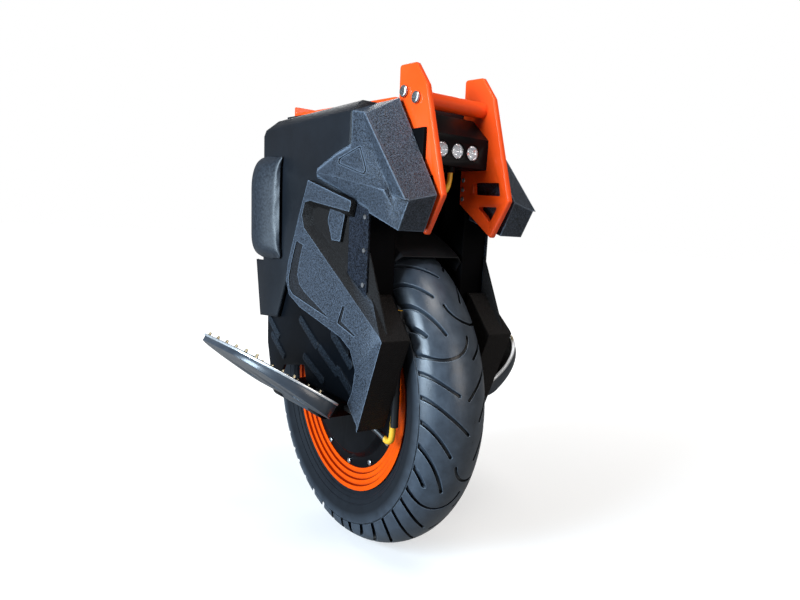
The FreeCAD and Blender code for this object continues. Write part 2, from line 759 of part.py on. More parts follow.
def pedal_base():
    inset = HINGE_EYE_RADIUS + CUT
    top = PEDAL_TOP - DECK_THICK
    low = PEDAL_TOP - PEDAL_INNER_THICK
    body = pedal_outline(inset, 0, low).extrude(vec(0, 0, top - low))
    half = PEDAL_LENGTH
    ramp = [(inset, low), (PEDAL_WIDTH + CUT, PEDAL_TOP - PEDAL_OUTER_THICK),
            (PEDAL_WIDTH + CUT, low - CUT), (inset, low - CUT)]
    corners = [vec(u, -half, w) for u, w in ramp]
    wedge = Part.Face(Part.makePolygon(corners + corners[:1])).extrude(vec(0, 2 * half, 0))
    body = body.cut(wedge)
    for i in range(SCALLOP_COUNT):
        v = (i - (SCALLOP_COUNT - 1) / 2) * SCALLOP_PITCH
        w = low - SCALLOP_RADIUS + SCALLOP_DEPTH
        tunnel = rod(SCALLOP_RADIUS, vec(inset + KNUCKLE_LENGTH / 3, v, w), vec(PEDAL_WIDTH + CUT, v, w))
        body = body.cut(tunnel)
    arm = box(0, inset + CUT, -KNUCKLE_LENGTH / 2, KNUCKLE_LENGTH / 2, low + CUT, top)
    eye = rod(HINGE_EYE_RADIUS - RUN_GAP, vec(0, -KNUCKLE_LENGTH / 2, 0), vec(0, KNUCKLE_LENGTH / 2, 0))
    body = body.fuse(arm).fuse(eye)
    body = body.cut(rod(HINGE_PIN_RADIUS + FIT, vec(0, -KNUCKLE_LENGTH, 0), vec(0, KNUCKLE_LENGTH, 0)))
    return raise_pedal(body.removeSplitter())


def pedal_deck():
    inset = HINGE_EYE_RADIUS + CUT
    return raise_pedal(pedal_outline(inset, DECK_RIM, PEDAL_TOP - DECK_THICK).extrude(vec(0, 0, DECK_THICK)))


def pedal_spikes():
    pins = []
    rows = (HINGE_EYE_RADIUS + CUT + SPIKE_INSET, PEDAL_WIDTH / 2, PEDAL_WIDTH - SPIKE_INSET)
    for u in rows:
        for i in range(SPIKE_COUNT):
            v = (i - (SPIKE_COUNT - 1) / 2) * SPIKE_PITCH
            pins.append(Part.makeCone(SPIKE_RADIUS, SPIKE_RADIUS * SPIKE_TIP_SHARE, SPIKE_HEIGHT,
                                      vec(u, v, PEDAL_TOP)))
    return raise_pedal(Part.makeCompound(pins))


# Leg: the box-section upright beside the tyre, hung from the frame.
def leg():
    low = LEG_LOW
    outer = box(LEG_IN, LEG_OUT, LEG_FRONT_Y, LEG_REAR_Y, low, FRAME_Z)
    inner = box(LEG_IN + LEG_WALL, LEG_OUT - LEG_WALL, LEG_FRONT_Y + LEG_WALL, LEG_REAR_Y - LEG_WALL,
                low - CUT, FRAME_Z + CUT)
    return outer.cut(inner)


def leg_cover():
    low = LEG_LOW
    return box(LEG_OUT, SHELL_OUT, LEG_FRONT_Y - LEG_COVER_THICK, LEG_REAR_Y, low, low + LEG_COVER_HEIGHT)


leg_screw_shares = [0.23, 0.48, 0.72]


def leg_screws():
    """Three pan heads down the front edge of the leg cover."""
    y = LEG_FRONT_Y + SCREW_HEAD_RADIUS
    heads = []
    for share in leg_screw_shares:
        z = LEG_LOW + LEG_COVER_HEIGHT * share
        heads.append(rod(SMALL_HEAD_RADIUS, vec(SHELL_OUT, y, z), vec(SHELL_OUT + SMALL_HEAD, y, z)))
    return Part.makeCompound(heads)


# Top frame: the bridge plate over the wheel, with ears for the fork tubes.
def top_frame():
    front = LEG_REAR_Y - LEG_DEPTH / 2
    plate = box(-PLATE_OUT, PLATE_OUT, front, front + FRAME_LENGTH, FRAME_Z, FRAME_Z + FRAME_THICK)
    ears = []
    for y in (-FORK_Y, FORK_Y):
        reach = FORK_X + FORK_TUBE_RADIUS + CUT
        ears.append(box(-reach, reach, y - EAR_WIDTH / 2, y + EAR_WIDTH / 2, FRAME_Z, FRAME_Z + FRAME_THICK))
    return plate.fuse(ears).removeSplitter()


def rear_plate():
    rear = SHELL_REAR_Y - REAR_COVER_THICK
    top = FRAME_Z + TOP_FRONT_RISE - TOP_COVER_THICK
    return box(LEG_IN, LEG_IN + REAR_PLATE_THICK, rear - REAR_PLATE_LENGTH, rear, top - REAR_PLATE_HEIGHT, top)


def battery():
    rear = SHELL_REAR_Y - SHELL_WALL - LANE_GAP
    top = FRAME_Z + TOP_FRONT_RISE - TOP_COVER_THICK
    inner = LEG_IN + REAR_PLATE_THICK
    pack = box(inner, inner + BATTERY_THICK, rear - BATTERY_LENGTH, rear, top - BATTERY_HEIGHT, top)
    return pack.makeFillet(SHELL_WALL, pack.Edges)


def controller():
    low = FRAME_Z + FRAME_THICK
    half = CONTROLLER_WIDTH / 2
    y0 = LEG_REAR_Y + CUT
    block = box(-half, half, y0, y0 + CONTROLLER_LENGTH, low, low + CONTROLLER_HEIGHT)
    pitch = (CONTROLLER_WIDTH - FIN_THICK) / (FIN_COUNT - 1)
    fins = []
    for i in range(FIN_COUNT):
        x = -half + i * pitch
        fins.append(box(x, x + FIN_THICK, y0, y0 + CONTROLLER_LENGTH,
                        low + CONTROLLER_HEIGHT, low + CONTROLLER_HEIGHT + FIN_HEIGHT))
    return block.fuse(fins).removeSplitter()


# Side shell: a thin moulded half-casing with a closed front end, open towards the wheel and below.
shell_low_shares = [(0.0, 0.0), (0.38, -0.013), (0.617, 0.447), (1.0, 0.469)]
flap_shares = [(0.0, 1.0), (0.13, 0.0), (0.64, 0.06), (0.97, 1.0), (0.9, 1.06), (0.25, 1.06), (0.22, 1.0)]


def shell_outline(inset):
    rear = SHELL_REAR_Y - inset
    top = SHELL_TOP - inset
    corner = SHELL_REAR_CORNER
    low = spread(shell_low_shares, rear, SHELL_LENGTH, SHELL_TOP - SHELL_HEIGHT - inset, SHELL_HEIGHT)
    front = SHELL_FRONT_Y + inset
    return [(front, top), (rear - corner, top), (rear, top - corner)] + low


def shell_body(inset, x0):
    outer = SHELL_OUT - inset
    body = prism(shell_outline(inset), x0, outer)
    edges = [e for e in body.Edges
             if e.CenterOfMass.x > outer - CUT and e.CenterOfMass.z > SHELL_TOP - inset - CUT]
    return body.makeChamfer(SHELL_SHOULDER, edges)


def side_shell():
    walls = shell_body(0, SHELL_INNER_X).cut(shell_body(SHELL_WALL, SHELL_INNER_X - CUT))
    low = SHELL_TOP - SHELL_HEIGHT - FLAP_HEIGHT
    flap = spread(flap_shares, SHELL_REAR_Y + FLAP_REAR, FLAP_LENGTH, low, FLAP_HEIGHT)
    return walls.fuse(prism(flap, PAD_IN, SHELL_OUT)).removeSplitter()


# Calf pad: the swollen roll round the rear corner that the rider's calf presses on.
calf_top_share = 0.13
calf_low_share = 0.06
calf_bulge_shares = [(0.28, 0.88), (0.5, 1.0), (0.82, 0.72), (0.95, 0.3)]


def calf_pad():
    rear = SHELL_REAR_Y + CALF_PAD_REAR
    front = rear - CALF_PAD_LENGTH
    low = SHELL_TOP - SHELL_HEIGHT + CUT
    top = low + CALF_PAD_HEIGHT
    wide = SHELL_OUT + CALF_PAD_RISE - SHELL_INNER_X
    bulge = [vec(SHELL_INNER_X + b * wide, front + a * CALF_PAD_LENGTH, low) for a, b in calf_bulge_shares]
    start = vec(SHELL_OUT, front, low)
    end = vec(SHELL_INNER_X, rear, low)
    inner = [vec(SHELL_INNER_X, SHELL_REAR_Y, low), vec(SHELL_OUT, SHELL_REAR_Y, low)]
    edges = [
        Part.Arc(start, bulge[0], bulge[1]).toShape(),
        Part.Arc(bulge[1], bulge[2], end).toShape(),
        Part.LineSegment(end, inner[0]).toShape(),
        Part.LineSegment(inner[0], inner[1]).toShape(),
        Part.LineSegment(inner[1], start).toShape(),
    ]
    roll = Part.Face(Part.Wire(edges)).extrude(vec(0, 0, CALF_PAD_HEIGHT))
    side = [
        (front, low), (SHELL_REAR_Y, low), (rear, low + CALF_PAD_HEIGHT * calf_low_share),
        (rear, top - CALF_PAD_HEIGHT * calf_top_share), (SHELL_REAR_Y, top), (front, top),
    ]
    return roll.common(prism(side, SHELL_INNER_X, SHELL_OUT + CALF_PAD_RISE))


# Lower pad: ridge, deep opening and front block moulded in one piece.
lower_pad_shares = [
    (0.25, 1.0), (0.695, 0.91), (1.0, 0.396), (0.826, 0.021), (0.725, 0.1),
    (0.767, 0.156), (0.789, 0.249), (0.735, 0.324), (0.636, 0.363), (0.18, 0.441),
    (0.04, 0.486), (0.0, 0.55), (0.022, 0.634), (0.15, 0.85),
]
recess_outer_shares = [
    (0.276, 0.913), (0.217, 0.907), (0.185, 0.85), (0.215, 0.796), (0.995, 0.408), (1.011, 0.393),
    (1.3, 0.396), (1.3, 1.3), (0.9, 1.3), (0.684, 0.868),
]
recess_inner_shares = [
    (0.29, 0.89), (0.245, 0.88), (0.225, 0.85), (0.26, 0.815), (0.84, 0.553), (1.011, 0.393),
    (1.3, 0.4), (1.3, 1.3), (0.9, 1.3), (0.68, 0.84),
]
block_shares = [
    (0.82, 0.556), (0.84, 0.553), (1.011, 0.393), (0.826, 0.0), (0.82, 0.0),
]
fin_shares = [(0.458, 0.887), (0.429, 0.836), (0.476, 0.752), (0.56, 0.749), (0.6, 0.857)]


band_shares = [
    (0.125, 0.738), (0.078, 0.662), (0.032, 0.567), (0.043, 0.516), (0.092, 0.492), (0.52, 0.427),
    (0.232, 0.514), (0.17, 0.544), (0.141, 0.587), (0.172, 0.666), (0.204, 0.721),
]
hook_shares = [(0.65, 0.494), (0.672, 0.493), (0.64, 0.429), (0.779, 0.388), (0.766, 0.384), (0.602, 0.418)]


def lower_pad():
    place = (LOWER_PAD_REAR_Y, LOWER_PAD_LENGTH, LOWER_PAD_LOW, LOWER_PAD_HEIGHT)
    body = prism(spread(lower_pad_shares, *place), PAD_IN, PAD_OUT)
    body = body.fuse(prism(spread(block_shares, *place), BLOCK_INNER_X, PAD_OUT))
    floor = PAD_IN + RECESS_FLOOR
    body = body.cut(taper(spread(recess_inner_shares, *place), floor,
                          spread(recess_outer_shares, *place), PAD_OUT + FIT))
    body = body.fuse(prism(spread(fin_shares, *place), floor, floor + RECESS_FIN))
    for shares in (band_shares, hook_shares):
        body = body.cut(prism(spread(shares, *place), PAD_OUT - GROOVE_DEPTH, PAD_OUT + CUT))
    leg_room = box(0, SHELL_OUT + RUN_GAP, LEG_FRONT_Y - LEG_COVER_THICK, LEG_REAR_Y + LANE_GAP,
                   LEG_LOW - LANE_GAP, FRAME_Z)
    shell_room = prism(shell_outline(0), 0, SHELL_OUT)
    return body.cut(leg_room).cut(shell_room).removeSplitter()


# Upper pad: a sloped front face, a cap over the leg and a faceted wing along the shell.
pad_inner_shares = [(0.0, 0.98), (1.0, 0.262), (0.75, 0.0), (0.0, 0.12)]
pad_outer_shares = [(-0.14, 0.85), (0.965, 0.208), (0.75, 0.0), (0.0, 0.12)]
# Sections of the wing: place along it, lower edge, ridge, upper edge, and share of the full rise.
wing_shares = [
    (1.0, 0.02, 0.15, 0.2, 0.1), (0.94, 0.05, 0.28, 0.31, 1.0), (0.61, 0.18, 0.345, 0.685, 0.88),
    (0.28, 0.311, 0.41, 0.595, 0.68), (0.0, 0.408, 0.45, 0.488, 0.12),
]
triangle_shares = [(0.261, 0.524), (0.602, 0.616), (0.737, 0.386)]
TRIANGLE_INSET_SHARE = 0.09
brow_valley_shares = [(-0.28, 0.81), (0.315, 0.283)]


def shrunk(points, share):
    """An outline drawn in towards its middle."""
    y0 = sum(y for y, z in points) / len(points)
    z0 = sum(z for y, z in points) / len(points)
    return [(y + (y0 - y) * share, z + (z0 - z) * share) for y, z in points]


def wing():
    low = FRAME_Z - UPPER_PAD_DROP
    rear = LEG_FRONT_Y - WING_FRONT + WING_LENGTH
    sections = []
    for along, edge, ridge, top, rise in wing_shares:
        y = rear - along * WING_LENGTH
        corners = [
            vec(SHELL_OUT, y, low + edge * UPPER_PAD_HEIGHT),
            vec(SHELL_OUT + rise * WING_RISE, y, low + ridge * UPPER_PAD_HEIGHT),
            vec(SHELL_OUT, y, low + top * UPPER_PAD_HEIGHT),
        ]
        sections.append(Part.makePolygon(corners + corners[:1]))
    body = Part.makeLoft(sections, True, True)
    floor = body.copy()
    floor.translate(vec(-GROOVE_DEPTH, 0, 0))
    outline = spread(triangle_shares, rear, WING_LENGTH, low, UPPER_PAD_HEIGHT)
    outer = rounded_prism(outline, GROOVE_CORNER, SHELL_OUT, PAD_OUT + CUT)
    inner = rounded_prism(shrunk(outline, TRIANGLE_INSET_SHARE), GROOVE_CORNER, SHELL_OUT, PAD_OUT + CUT)
    return body.cut(outer.cut(inner).cut(floor))


def brow(edge, valley):
    """The bevelled strip between the front face's outer edge and the wing."""
    sections = []
    for (y0, z0), (y1, z1) in zip(edge, valley):
        corners = [vec(SHELL_OUT - CUT, y0, z0), vec(SHELL_OUT + BROW_RISE, y0, z0), vec(SHELL_OUT - CUT, y1, z1)]
        sections.append(Part.makePolygon(corners + corners[:1]))
    return Part.makeLoft(sections, True, True)


def upper_pad():
    low = FRAME_Z - UPPER_PAD_DROP
    front = LEG_FRONT_Y - LEG_COVER_THICK
    place = (front, UPPER_PAD_REACH, low, UPPER_PAD_HEIGHT)
    inner = spread(pad_inner_shares, *place)
    outer = spread(pad_outer_shares, *place)
    face = taper(inner, UPPER_PAD_INNER_X, outer, SHELL_OUT)
    rear = SHELL_FRONT_Y - RUN_GAP
    cap0 = [(front, FRAME_Z), inner[0], (rear, inner[0][1]), (rear, FRAME_Z)]
    cap1 = [(front, FRAME_Z), outer[0], (rear, SHELL_TOP - SHELL_SHOULDER), (rear, FRAME_Z)]
    cap = taper(cap0, UPPER_PAD_INNER_X, cap1, SHELL_OUT)
    strip = brow(outer[:2], spread(brow_valley_shares, *place))
    leg_room = box(0, SHELL_OUT, front, rear + CUT, low - CUT, FRAME_Z)
    return face.cut(leg_room).fuse(cap).fuse(strip.cut(leg_room)).fuse(wing()).removeSplitter()


# Cage plate: thick painted plate with two windows and eased edges.
plate_shares = [
    (0.0, 1.0), (0.34, 0.991), (0.583, 0.853), (1.0, 0.232), (0.709, 0.0), (0.03, 0.216),
]
plate_window_shares = [(0.29, 0.354), (0.796, 0.344), (0.835, 0.263), (0.31, 0.277)]
plate_corner_shares = [(0.408, 0.201), (0.796, 0.197), (0.67, 0.097)]


def cage_plate():
    place = (PLATE_REAR_Y, PLATE_LENGTH, FRAME_Z - PLATE_DROP, PLATE_HEIGHT)
    plate = rounded_prism(spread(plate_shares, *place), PLATE_THICK / 2, PLATE_IN, PLATE_OUT)
    for shares in (plate_window_shares, plate_corner_shares):
        plate = plate.cut(rounded_prism(spread(shares, *place), PLATE_EDGE, PLATE_IN - CUT, PLATE_OUT + CUT))
    faces = [f for f in plate.Faces if abs(f.normalAt(0, 0).x) > 0.9]
    rims = [e for f in faces for e in f.OuterWire.Edges]
    return plate.makeChamfer(PLATE_EDGE - RUN_GAP, rims)


def cage_arm():
    rear = LEG_REAR_Y + RUN_GAP
    return box(PLATE_OUT, ARM_OUT, rear - CAGE_ARM_LENGTH, rear, FRAME_Z, FRAME_Z + CAGE_ARM_HEIGHT)


def crossbar():
    z = FRAME_Z + CROSSBAR_RISE
    tube = rod(CROSSBAR_RADIUS, vec(-PLATE_IN, CROSSBAR_Y, z), vec(PLATE_IN, CROSSBAR_Y, z))
    hole = rod(CROSSBAR_RADIUS - CROSSBAR_WALL, vec(-PLATE_IN, CROSSBAR_Y, z), vec(PLATE_IN, CROSSBAR_Y, z))
    return tube.cut(hole)


bolt_shares = [(0.14, 0.84), (0.4, 0.79)]
small_bolt_shares = [(0.1, 0.25), (0.1, 0.31), (0.1, 0.37)]


def cage_bolts():
    """Button heads on the outer faces of the plates, small ones on the inner."""
    place = (PLATE_REAR_Y, PLATE_LENGTH, FRAME_Z - PLATE_DROP, PLATE_HEIGHT)
    heads = []
    for y, z in spread(bolt_shares, *place):
        heads.append(rod(BOLT_HEAD_RADIUS, vec(PLATE_OUT, y, z), vec(PLATE_OUT + BOLT_HEAD, y, z)))
    for y, z in spread(small_bolt_shares, *place):
        heads.append(rod(SMALL_HEAD_RADIUS, vec(PLATE_IN, y, z), vec(PLATE_IN - SMALL_HEAD, y, z)))
    return Part.makeCompound(heads)


# Headlight: a bar between the plates with three round lamps.
def lamp_places():
    z = FRAME_Z + LIGHT_FACE_HEIGHT / 2
    return [vec(i * LAMP_PITCH, LIGHT_FRONT_Y, z) for i in (-1, 0, 1)]


def headlight_housing():
    low = FRAME_Z
    rear = LIGHT_FRONT_Y + LIGHT_DEPTH
    profile = [
        (LIGHT_FRONT_Y, low), (LIGHT_FRONT_Y, low + LIGHT_FACE_HEIGHT),
        (LIGHT_FRONT_Y + LIGHT_SLOPE, low + LIGHT_HEIGHT), (rear, low + LIGHT_HEIGHT), (rear, low),
    ]
    body = prism(profile, -PLATE_IN, PLATE_IN)
    for spot in lamp_places():
        body = body.cut(rod(LAMP_RADIUS, spot - Y_AXIS * CUT, spot + Y_AXIS * LAMP_DEPTH))
    gland_top = vec(0, LIGHT_FRONT_Y + LIGHT_DEPTH / 3, low)
    return body.fuse(rod(GLAND_RADIUS, gland_top - Z_AXIS * GLAND_LENGTH, gland_top)).removeSplitter()


def headlight_reflectors():
    cups = []
    for spot in lamp_places():
        outer = rod(LAMP_RADIUS, spot + Y_AXIS * LENS_THICK, spot + Y_AXIS * LAMP_DEPTH)
        bowl = Part.makeCone(LAMP_RADIUS - LAMP_WALL, LAMP_RADIUS / 3, LAMP_DEPTH - LENS_THICK - LAMP_WALL,
                             spot + Y_AXIS * LENS_THICK, Y_AXIS)
        cups.append(outer.cut(bowl))
    return Part.makeCompound(cups)


def headlight_lenses():
    return Part.makeCompound([rod(LAMP_RADIUS, spot, spot + Y_AXIS * LENS_THICK) for spot in lamp_places()])


# Lamp lead: from the gland under the housing back to the right leg.
lamp_lead_steps = [
    vec(-7, 2, -27.5), vec(-18, 12, -34.5), vec(-30, 30, -33.5), vec(-40, 47, -25.5),
]


def headlight_lead():
    start = vec(0, LIGHT_FRONT_Y + LIGHT_DEPTH / 3, FRAME_Z - GLAND_LENGTH)
    drop = start - Z_AXIS * LIGHT_DEPTH / 3
    points = [start, drop] + [start + step for step in lamp_lead_steps]
    end = vec(-LEG_IN, points[-1].y, points[-1].z)
    return lead(points + [end], LEAD_RADIUS)


# Motor lead: from the pedal shelf forward and up in a sleeve behind the lower pad.
motor_lead_steps = [vec(10, -40.8, -12), vec(21, -63.8, -25)]


def conduit_place():
    x = BLOCK_INNER_X - RUN_GAP - CONDUIT_WALL - FIT - MOTOR_LEAD_RADIUS
    return vec(-x, LEG_FRONT_Y - LEAD_DIP, LOWER_PAD_LOW)


def motor_lead():
    foot = conduit_place()
    dip = LEAD_DIP
    start = vec(-SHELF_END_X + NUT_RADIUS - CUT, -KNUCKLE_SPAN, HINGE_Z)
    points = [start, start - Y_AXIS * NUT_RADIUS] + [start + step for step in motor_lead_steps]
    points += [vec(foot.x, foot.y + dip / 2, foot.z - dip), vec(foot.x, foot.y, foot.z - dip / 3)]
    points.append(foot + Z_AXIS * CONDUIT_LENGTH)
    return lead(points, MOTOR_LEAD_RADIUS)


def lead_conduit():
    low = conduit_place() + Z_AXIS * MOTOR_LEAD_RADIUS
    high = conduit_place() + Z_AXIS * CONDUIT_LENGTH
    inner = MOTOR_LEAD_RADIUS + FIT
    return rod(inner + CONDUIT_WALL, low, high).cut(rod(inner, low, high))


# Top cover, lift plate and rear cover.
def top_z(y):
    return FRAME_Z + TOP_FRONT_RISE + (TOP_REAR_RISE - TOP_FRONT_RISE) * (y - LEG_FRONT_Y) / (
        SHELL_REAR_Y - LEG_FRONT_Y)


def top_cover():
    low = FRAME_Z + TOP_FRONT_RISE - TOP_COVER_THICK
    front = PLATE_REAR_Y + RUN_GAP
    rear = SHELL_REAR_Y
    lid = prism([(front, low), (front, top_z(front)), (rear, top_z(rear)), (rear, low)],
                -SHELL_INNER_X, SHELL_INNER_X)
    well = box(-GRIP_WIDTH / 2, GRIP_WIDTH / 2, -GRIP_LENGTH / 2, GRIP_LENGTH / 2,
               top_z(0) - GRIP_DEPTH, top_z(rear) + CUT)
    return lid.cut(well)


def top_plate():
    front = PLATE_REAR_Y + TOP_PLATE_INSET
    rear = front + TOP_PLATE_LENGTH
    thick = TOP_PLATE_THICK
    profile = [
        (front, top_z(front)), (front, top_z(front) + thick),
        (rear - thick, top_z(rear - thick) + thick), (rear - thick, top_z(rear) + TOP_PLATE_LIP),
        (rear, top_z(rear) + TOP_PLATE_LIP), (rear, top_z(rear)),
    ]
    plate = prism(profile, -TOP_PLATE_HALF, TOP_PLATE_HALF)
    slot = box(-GRIP_WIDTH / 2, GRIP_WIDTH / 2, -GRIP_LENGTH / 2, GRIP_LENGTH / 2,
               top_z(front) - CUT, top_z(rear) + TOP_PLATE_LIP)
    return plate.cut(slot)


def rear_cover():
    top = FRAME_Z + TOP_FRONT_RISE - TOP_COVER_THICK
    y1 = SHELL_REAR_Y
    y0 = y1 - REAR_COVER_THICK
    cover = box(-SHELL_INNER_X, SHELL_INNER_X, y0, y1, top - REAR_COVER_HEIGHT, top)
    for spot, radius in ((button_place(), BUTTON_RADIUS + BUTTON_GAP), (port_place(), PORT_RADIUS)):
        cover = cover.cut(rod(radius, spot - Y_AXIS * REAR_COVER_THICK * 2, spot + Y_AXIS * CUT))
    return cover


def button_place():
    z = FRAME_Z + TOP_FRONT_RISE - TOP_COVER_THICK - REAR_COVER_HEIGHT / 2
    return vec(-SHELL_INNER_X / 2, SHELL_REAR_Y, z)


def port_place():
    return vec(-button_place().x, SHELL_REAR_Y, button_place().z)


def power_button():
    spot = button_place()
    return rod(BUTTON_RADIUS, spot + Y_AXIS * (BUTTON_PROUD - BUTTON_LENGTH), spot + Y_AXIS * BUTTON_PROUD)


def charge_port():
    spot = port_place()
    ring = rod(PORT_RADIUS, spot - Y_AXIS * REAR_COVER_THICK, spot - Y_AXIS * CAP_GAP)
    return ring.cut(rod(PORT_RADIUS / 2, spot - Y_AXIS * PORT_DEPTH, spot))


def charge_cap():
    spot = port_place() + Y_AXIS * CAP_GAP
    lid = rod(CAP_RADIUS, spot, spot + Y_AXIS * CAP_THICK)
    z = spot.z + CAP_RADIUS
    y = spot.y + CAP_PIN_RADIUS
    ear = rod(CAP_PIN_RADIUS, vec(spot.x - CAP_RADIUS / 2, y, z), vec(spot.x + CAP_RADIUS / 2, y, z))
    return lid.fuse(ear).removeSplitter()


def tail_light():
    top = FRAME_Z + TOP_FRONT_RISE
    half = TAIL_LIGHT_LENGTH / 2
    return box(-half, half, SHELL_REAR_Y, SHELL_REAR_Y + TAIL_LIGHT_THICK,
               top - TAIL_LIGHT_HEIGHT, top)


# Side skirt: the lower panel on the hanger, with long oval bosses and a notch over the pedal.
skirt_low_shares = [(0.06, 0.0), (0.2, 0.036), (0.25, 0.143), (0.51, 0.214), (0.545, 0.077)]
SKIRT_TOE_SHARE = 0.2
SKIRT_REAR_SHARE = 0.29
oval_shares = [
    ((0.469, 0.571), (0.657, 0.413)), ((0.704, 0.398), (0.888, 0.265)), ((0.527, 0.281), (0.736, 0.158)),
    ((0.906, 0.286), (1.058, 0.153)), ((0.039, 0.5), (0.162, 0.378)), ((0.086, 0.362), (0.238, 0.224)),
    ((0.845, 0.531), (1.029, 0.357)),
]


def side_skirt():
    low = HINGE_Z
    rear = SHELL_REAR_Y - SHELL_WALL - SKIRT_SIDE_GAP
    front = LEG_REAR_Y + SKIRT_SIDE_GAP
    toe = front - SKIRT_TOE
    place = (rear, rear - front, low, SKIRT_HEIGHT)
    foot = spread(skirt_low_shares, *place)
    outline = foot + [
        (toe + SKIRT_SIDE_GAP, foot[-1][1]), (toe, low + SKIRT_HEIGHT * SKIRT_TOE_SHARE),
        (toe, LEG_LOW - TRAVEL - SKIRT_SIDE_GAP), (front, LEG_LOW - TRAVEL - SKIRT_SIDE_GAP),
        (front, low + SKIRT_HEIGHT), (rear, low + SKIRT_HEIGHT),
        (rear, low + SKIRT_HEIGHT * SKIRT_REAR_SHARE),
    ]
    panel = prism(outline, SKIRT_IN, SKIRT_OUT)
    for pair in oval_shares:
        spots = spread(pair, *place)
        panel = panel.fuse(oval_prism(spots[0], spots[1], OVAL_WIDTH / 2, SKIRT_IN, SKIRT_OUT + OVAL_RISE))
    return panel.removeSplitter()


def build():
    os.makedirs("parts", exist_ok=True)
    save("tyre", tyre())
    save("rim", rim())
    save_sides("motor_cover", motor_cover())
    save_pair("cover_screws", cover_screws())
    save_pair("bearings", bearing())
    save("magnet_ring", magnet_ring())
    save("stator", stator())
    save("axle", axle())
    save_pair("axle_nuts", axle_nut())
    save("mudguard", mudguard())
    save_sides("hanger", hanger())
    save_pair("hinge_pins", hinge_pin())
    save_pair("stanchions", stanchions())
    save_pair("fork_tubes", fork_tubes())
    save_sides("pedal_base", pedal_base())
    save_sides("pedal_deck", pedal_deck())
    save_sides("pedal_spikes", pedal_spikes())
    save_sides("leg", leg())
    save_sides("leg_cover", leg_cover())
    save_pair("leg_screws", leg_screws())
    save("top_frame", top_frame())
    save_pair("rear_plates", rear_plate())
    save_sides("battery", battery())
    save("controller", controller())
    save_sides("side_shell", side_shell())
    save_sides("calf_pad", calf_pad())
    save_sides("lower_pad", lower_pad())
    save_sides("upper_pad", upper_pad())
    save_sides("cage_plate", cage_plate())
    save_pair("cage_arms", cage_arm())
    save("crossbar", crossbar())
    save_pair("cage_bolts", cage_bolts())
    save("headlight_housing", headlight_housing())
    save("headlight_reflectors", headlight_reflectors())
    save("headlight_lenses", headlight_lenses())
    save("headlight_lead", headlight_lead())
    save("motor_lead", motor_lead())
    save("lead_conduit", lead_conduit())
    save("top_cover", top_cover())
    save("top_plate", top_plate())
    save("rear_cover", rear_cover())
    save("power_button", power_button())
    save("charge_port", charge_port())
    save("charge_cap", charge_cap())
    save("tail_light", tail_light())
    save_sides("side_skirt", side_skirt())


build()
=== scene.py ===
import math

import bpy
from mathutils import Matrix, Vector


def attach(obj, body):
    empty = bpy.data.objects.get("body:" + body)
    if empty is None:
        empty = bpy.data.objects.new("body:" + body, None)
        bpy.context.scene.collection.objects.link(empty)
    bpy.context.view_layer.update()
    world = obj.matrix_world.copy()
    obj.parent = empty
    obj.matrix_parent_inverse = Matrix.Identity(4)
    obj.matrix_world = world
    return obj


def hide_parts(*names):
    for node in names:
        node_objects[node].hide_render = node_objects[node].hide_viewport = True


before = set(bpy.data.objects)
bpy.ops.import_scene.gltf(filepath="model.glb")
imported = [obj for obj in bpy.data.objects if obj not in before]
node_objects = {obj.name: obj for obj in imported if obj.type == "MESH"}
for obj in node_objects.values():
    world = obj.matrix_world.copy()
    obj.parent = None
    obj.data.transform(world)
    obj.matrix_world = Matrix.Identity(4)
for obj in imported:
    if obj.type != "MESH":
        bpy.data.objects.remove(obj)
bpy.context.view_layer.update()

# The viewpoint: before the right front corner of the wheel, a little above the
# pedals and looking slightly down, with the small roll of a hand-held picture.
scene = bpy.context.scene
scene.view_settings.view_transform = "Standard"
camera_lens = bpy.data.cameras.new("camera")
camera = bpy.data.objects.new("camera", camera_lens)
scene.collection.objects.link(camera)
camera.location = (-0.5433, -0.8564, 0.4979)
camera.rotation_euler = [math.radians(angle) for angle in (79.116, -2.970, -35.932)]
camera_lens.sensor_width = 36.0
camera_lens.lens = 28.769
camera_lens.shift_x = -0.01774
camera_lens.shift_y = 0.0697
scene.camera = camera


# The studio: a floor of white paper under a white sky, one large soft box to the
# right of the wheel, and weaker ones overhead, low down, in front and behind.
def reckon(tree, operation, *values):
    """A sum made of sockets and plain numbers."""
    step = tree.nodes.new("ShaderNodeMath")
    step.operation = operation
    for socket, value in zip(step.inputs, values):
        if isinstance(value, float):
            socket.default_value = value
        else:
            tree.links.new(value, socket)
    return step.outputs[0]


def graded(tree, value, start=0.0, end=1.0, low=0.0, high=1.0):
    """A value between start and end, made into one between low and high."""
    grade = tree.nodes.new("ShaderNodeMapRange")
    grade.inputs["From Min"].default_value = start
    grade.inputs["From Max"].default_value = end
    grade.inputs["To Min"].default_value = low
    grade.inputs["To Max"].default_value = high
    tree.links.new(value, grade.inputs["Value"])
    return grade.outputs["Result"]


def reach_of(tree, vector):
    """How far a place is from the middle."""
    reach = tree.nodes.new("ShaderNodeVectorMath")
    reach.operation = "LENGTH"
    tree.links.new(vector, reach.inputs[0])
    return reach.outputs["Value"]


def white_seen(tree, path, through_glass=0.4):
    """One where the camera looks straight at the white, and less through the lamps' glass."""
    return reckon(tree, "MULTIPLY_ADD", path.outputs["Is Transmission Ray"], through_glass,
                  path.outputs["Is Camera Ray"])


world = bpy.data.worlds.new("studio")
scene.world = world
world.use_nodes = True
sky_tree = world.node_tree
sky = sky_tree.nodes["Background"]
sky.inputs["Color"].default_value = (1.0, 1.0, 1.0, 1)
sky_path = sky_tree.nodes.new("ShaderNodeLightPath")
sky_level = graded(sky_tree, white_seen(sky_tree, sky_path), low=0.05, high=1.0)
sky_mirrored = 0.1
sky_strength = reckon(sky_tree, "MULTIPLY_ADD", sky_path.outputs["Is Glossy Ray"], sky_mirrored,
                      sky_level)
sky_tree.links.new(sky_strength, sky.inputs["Strength"])


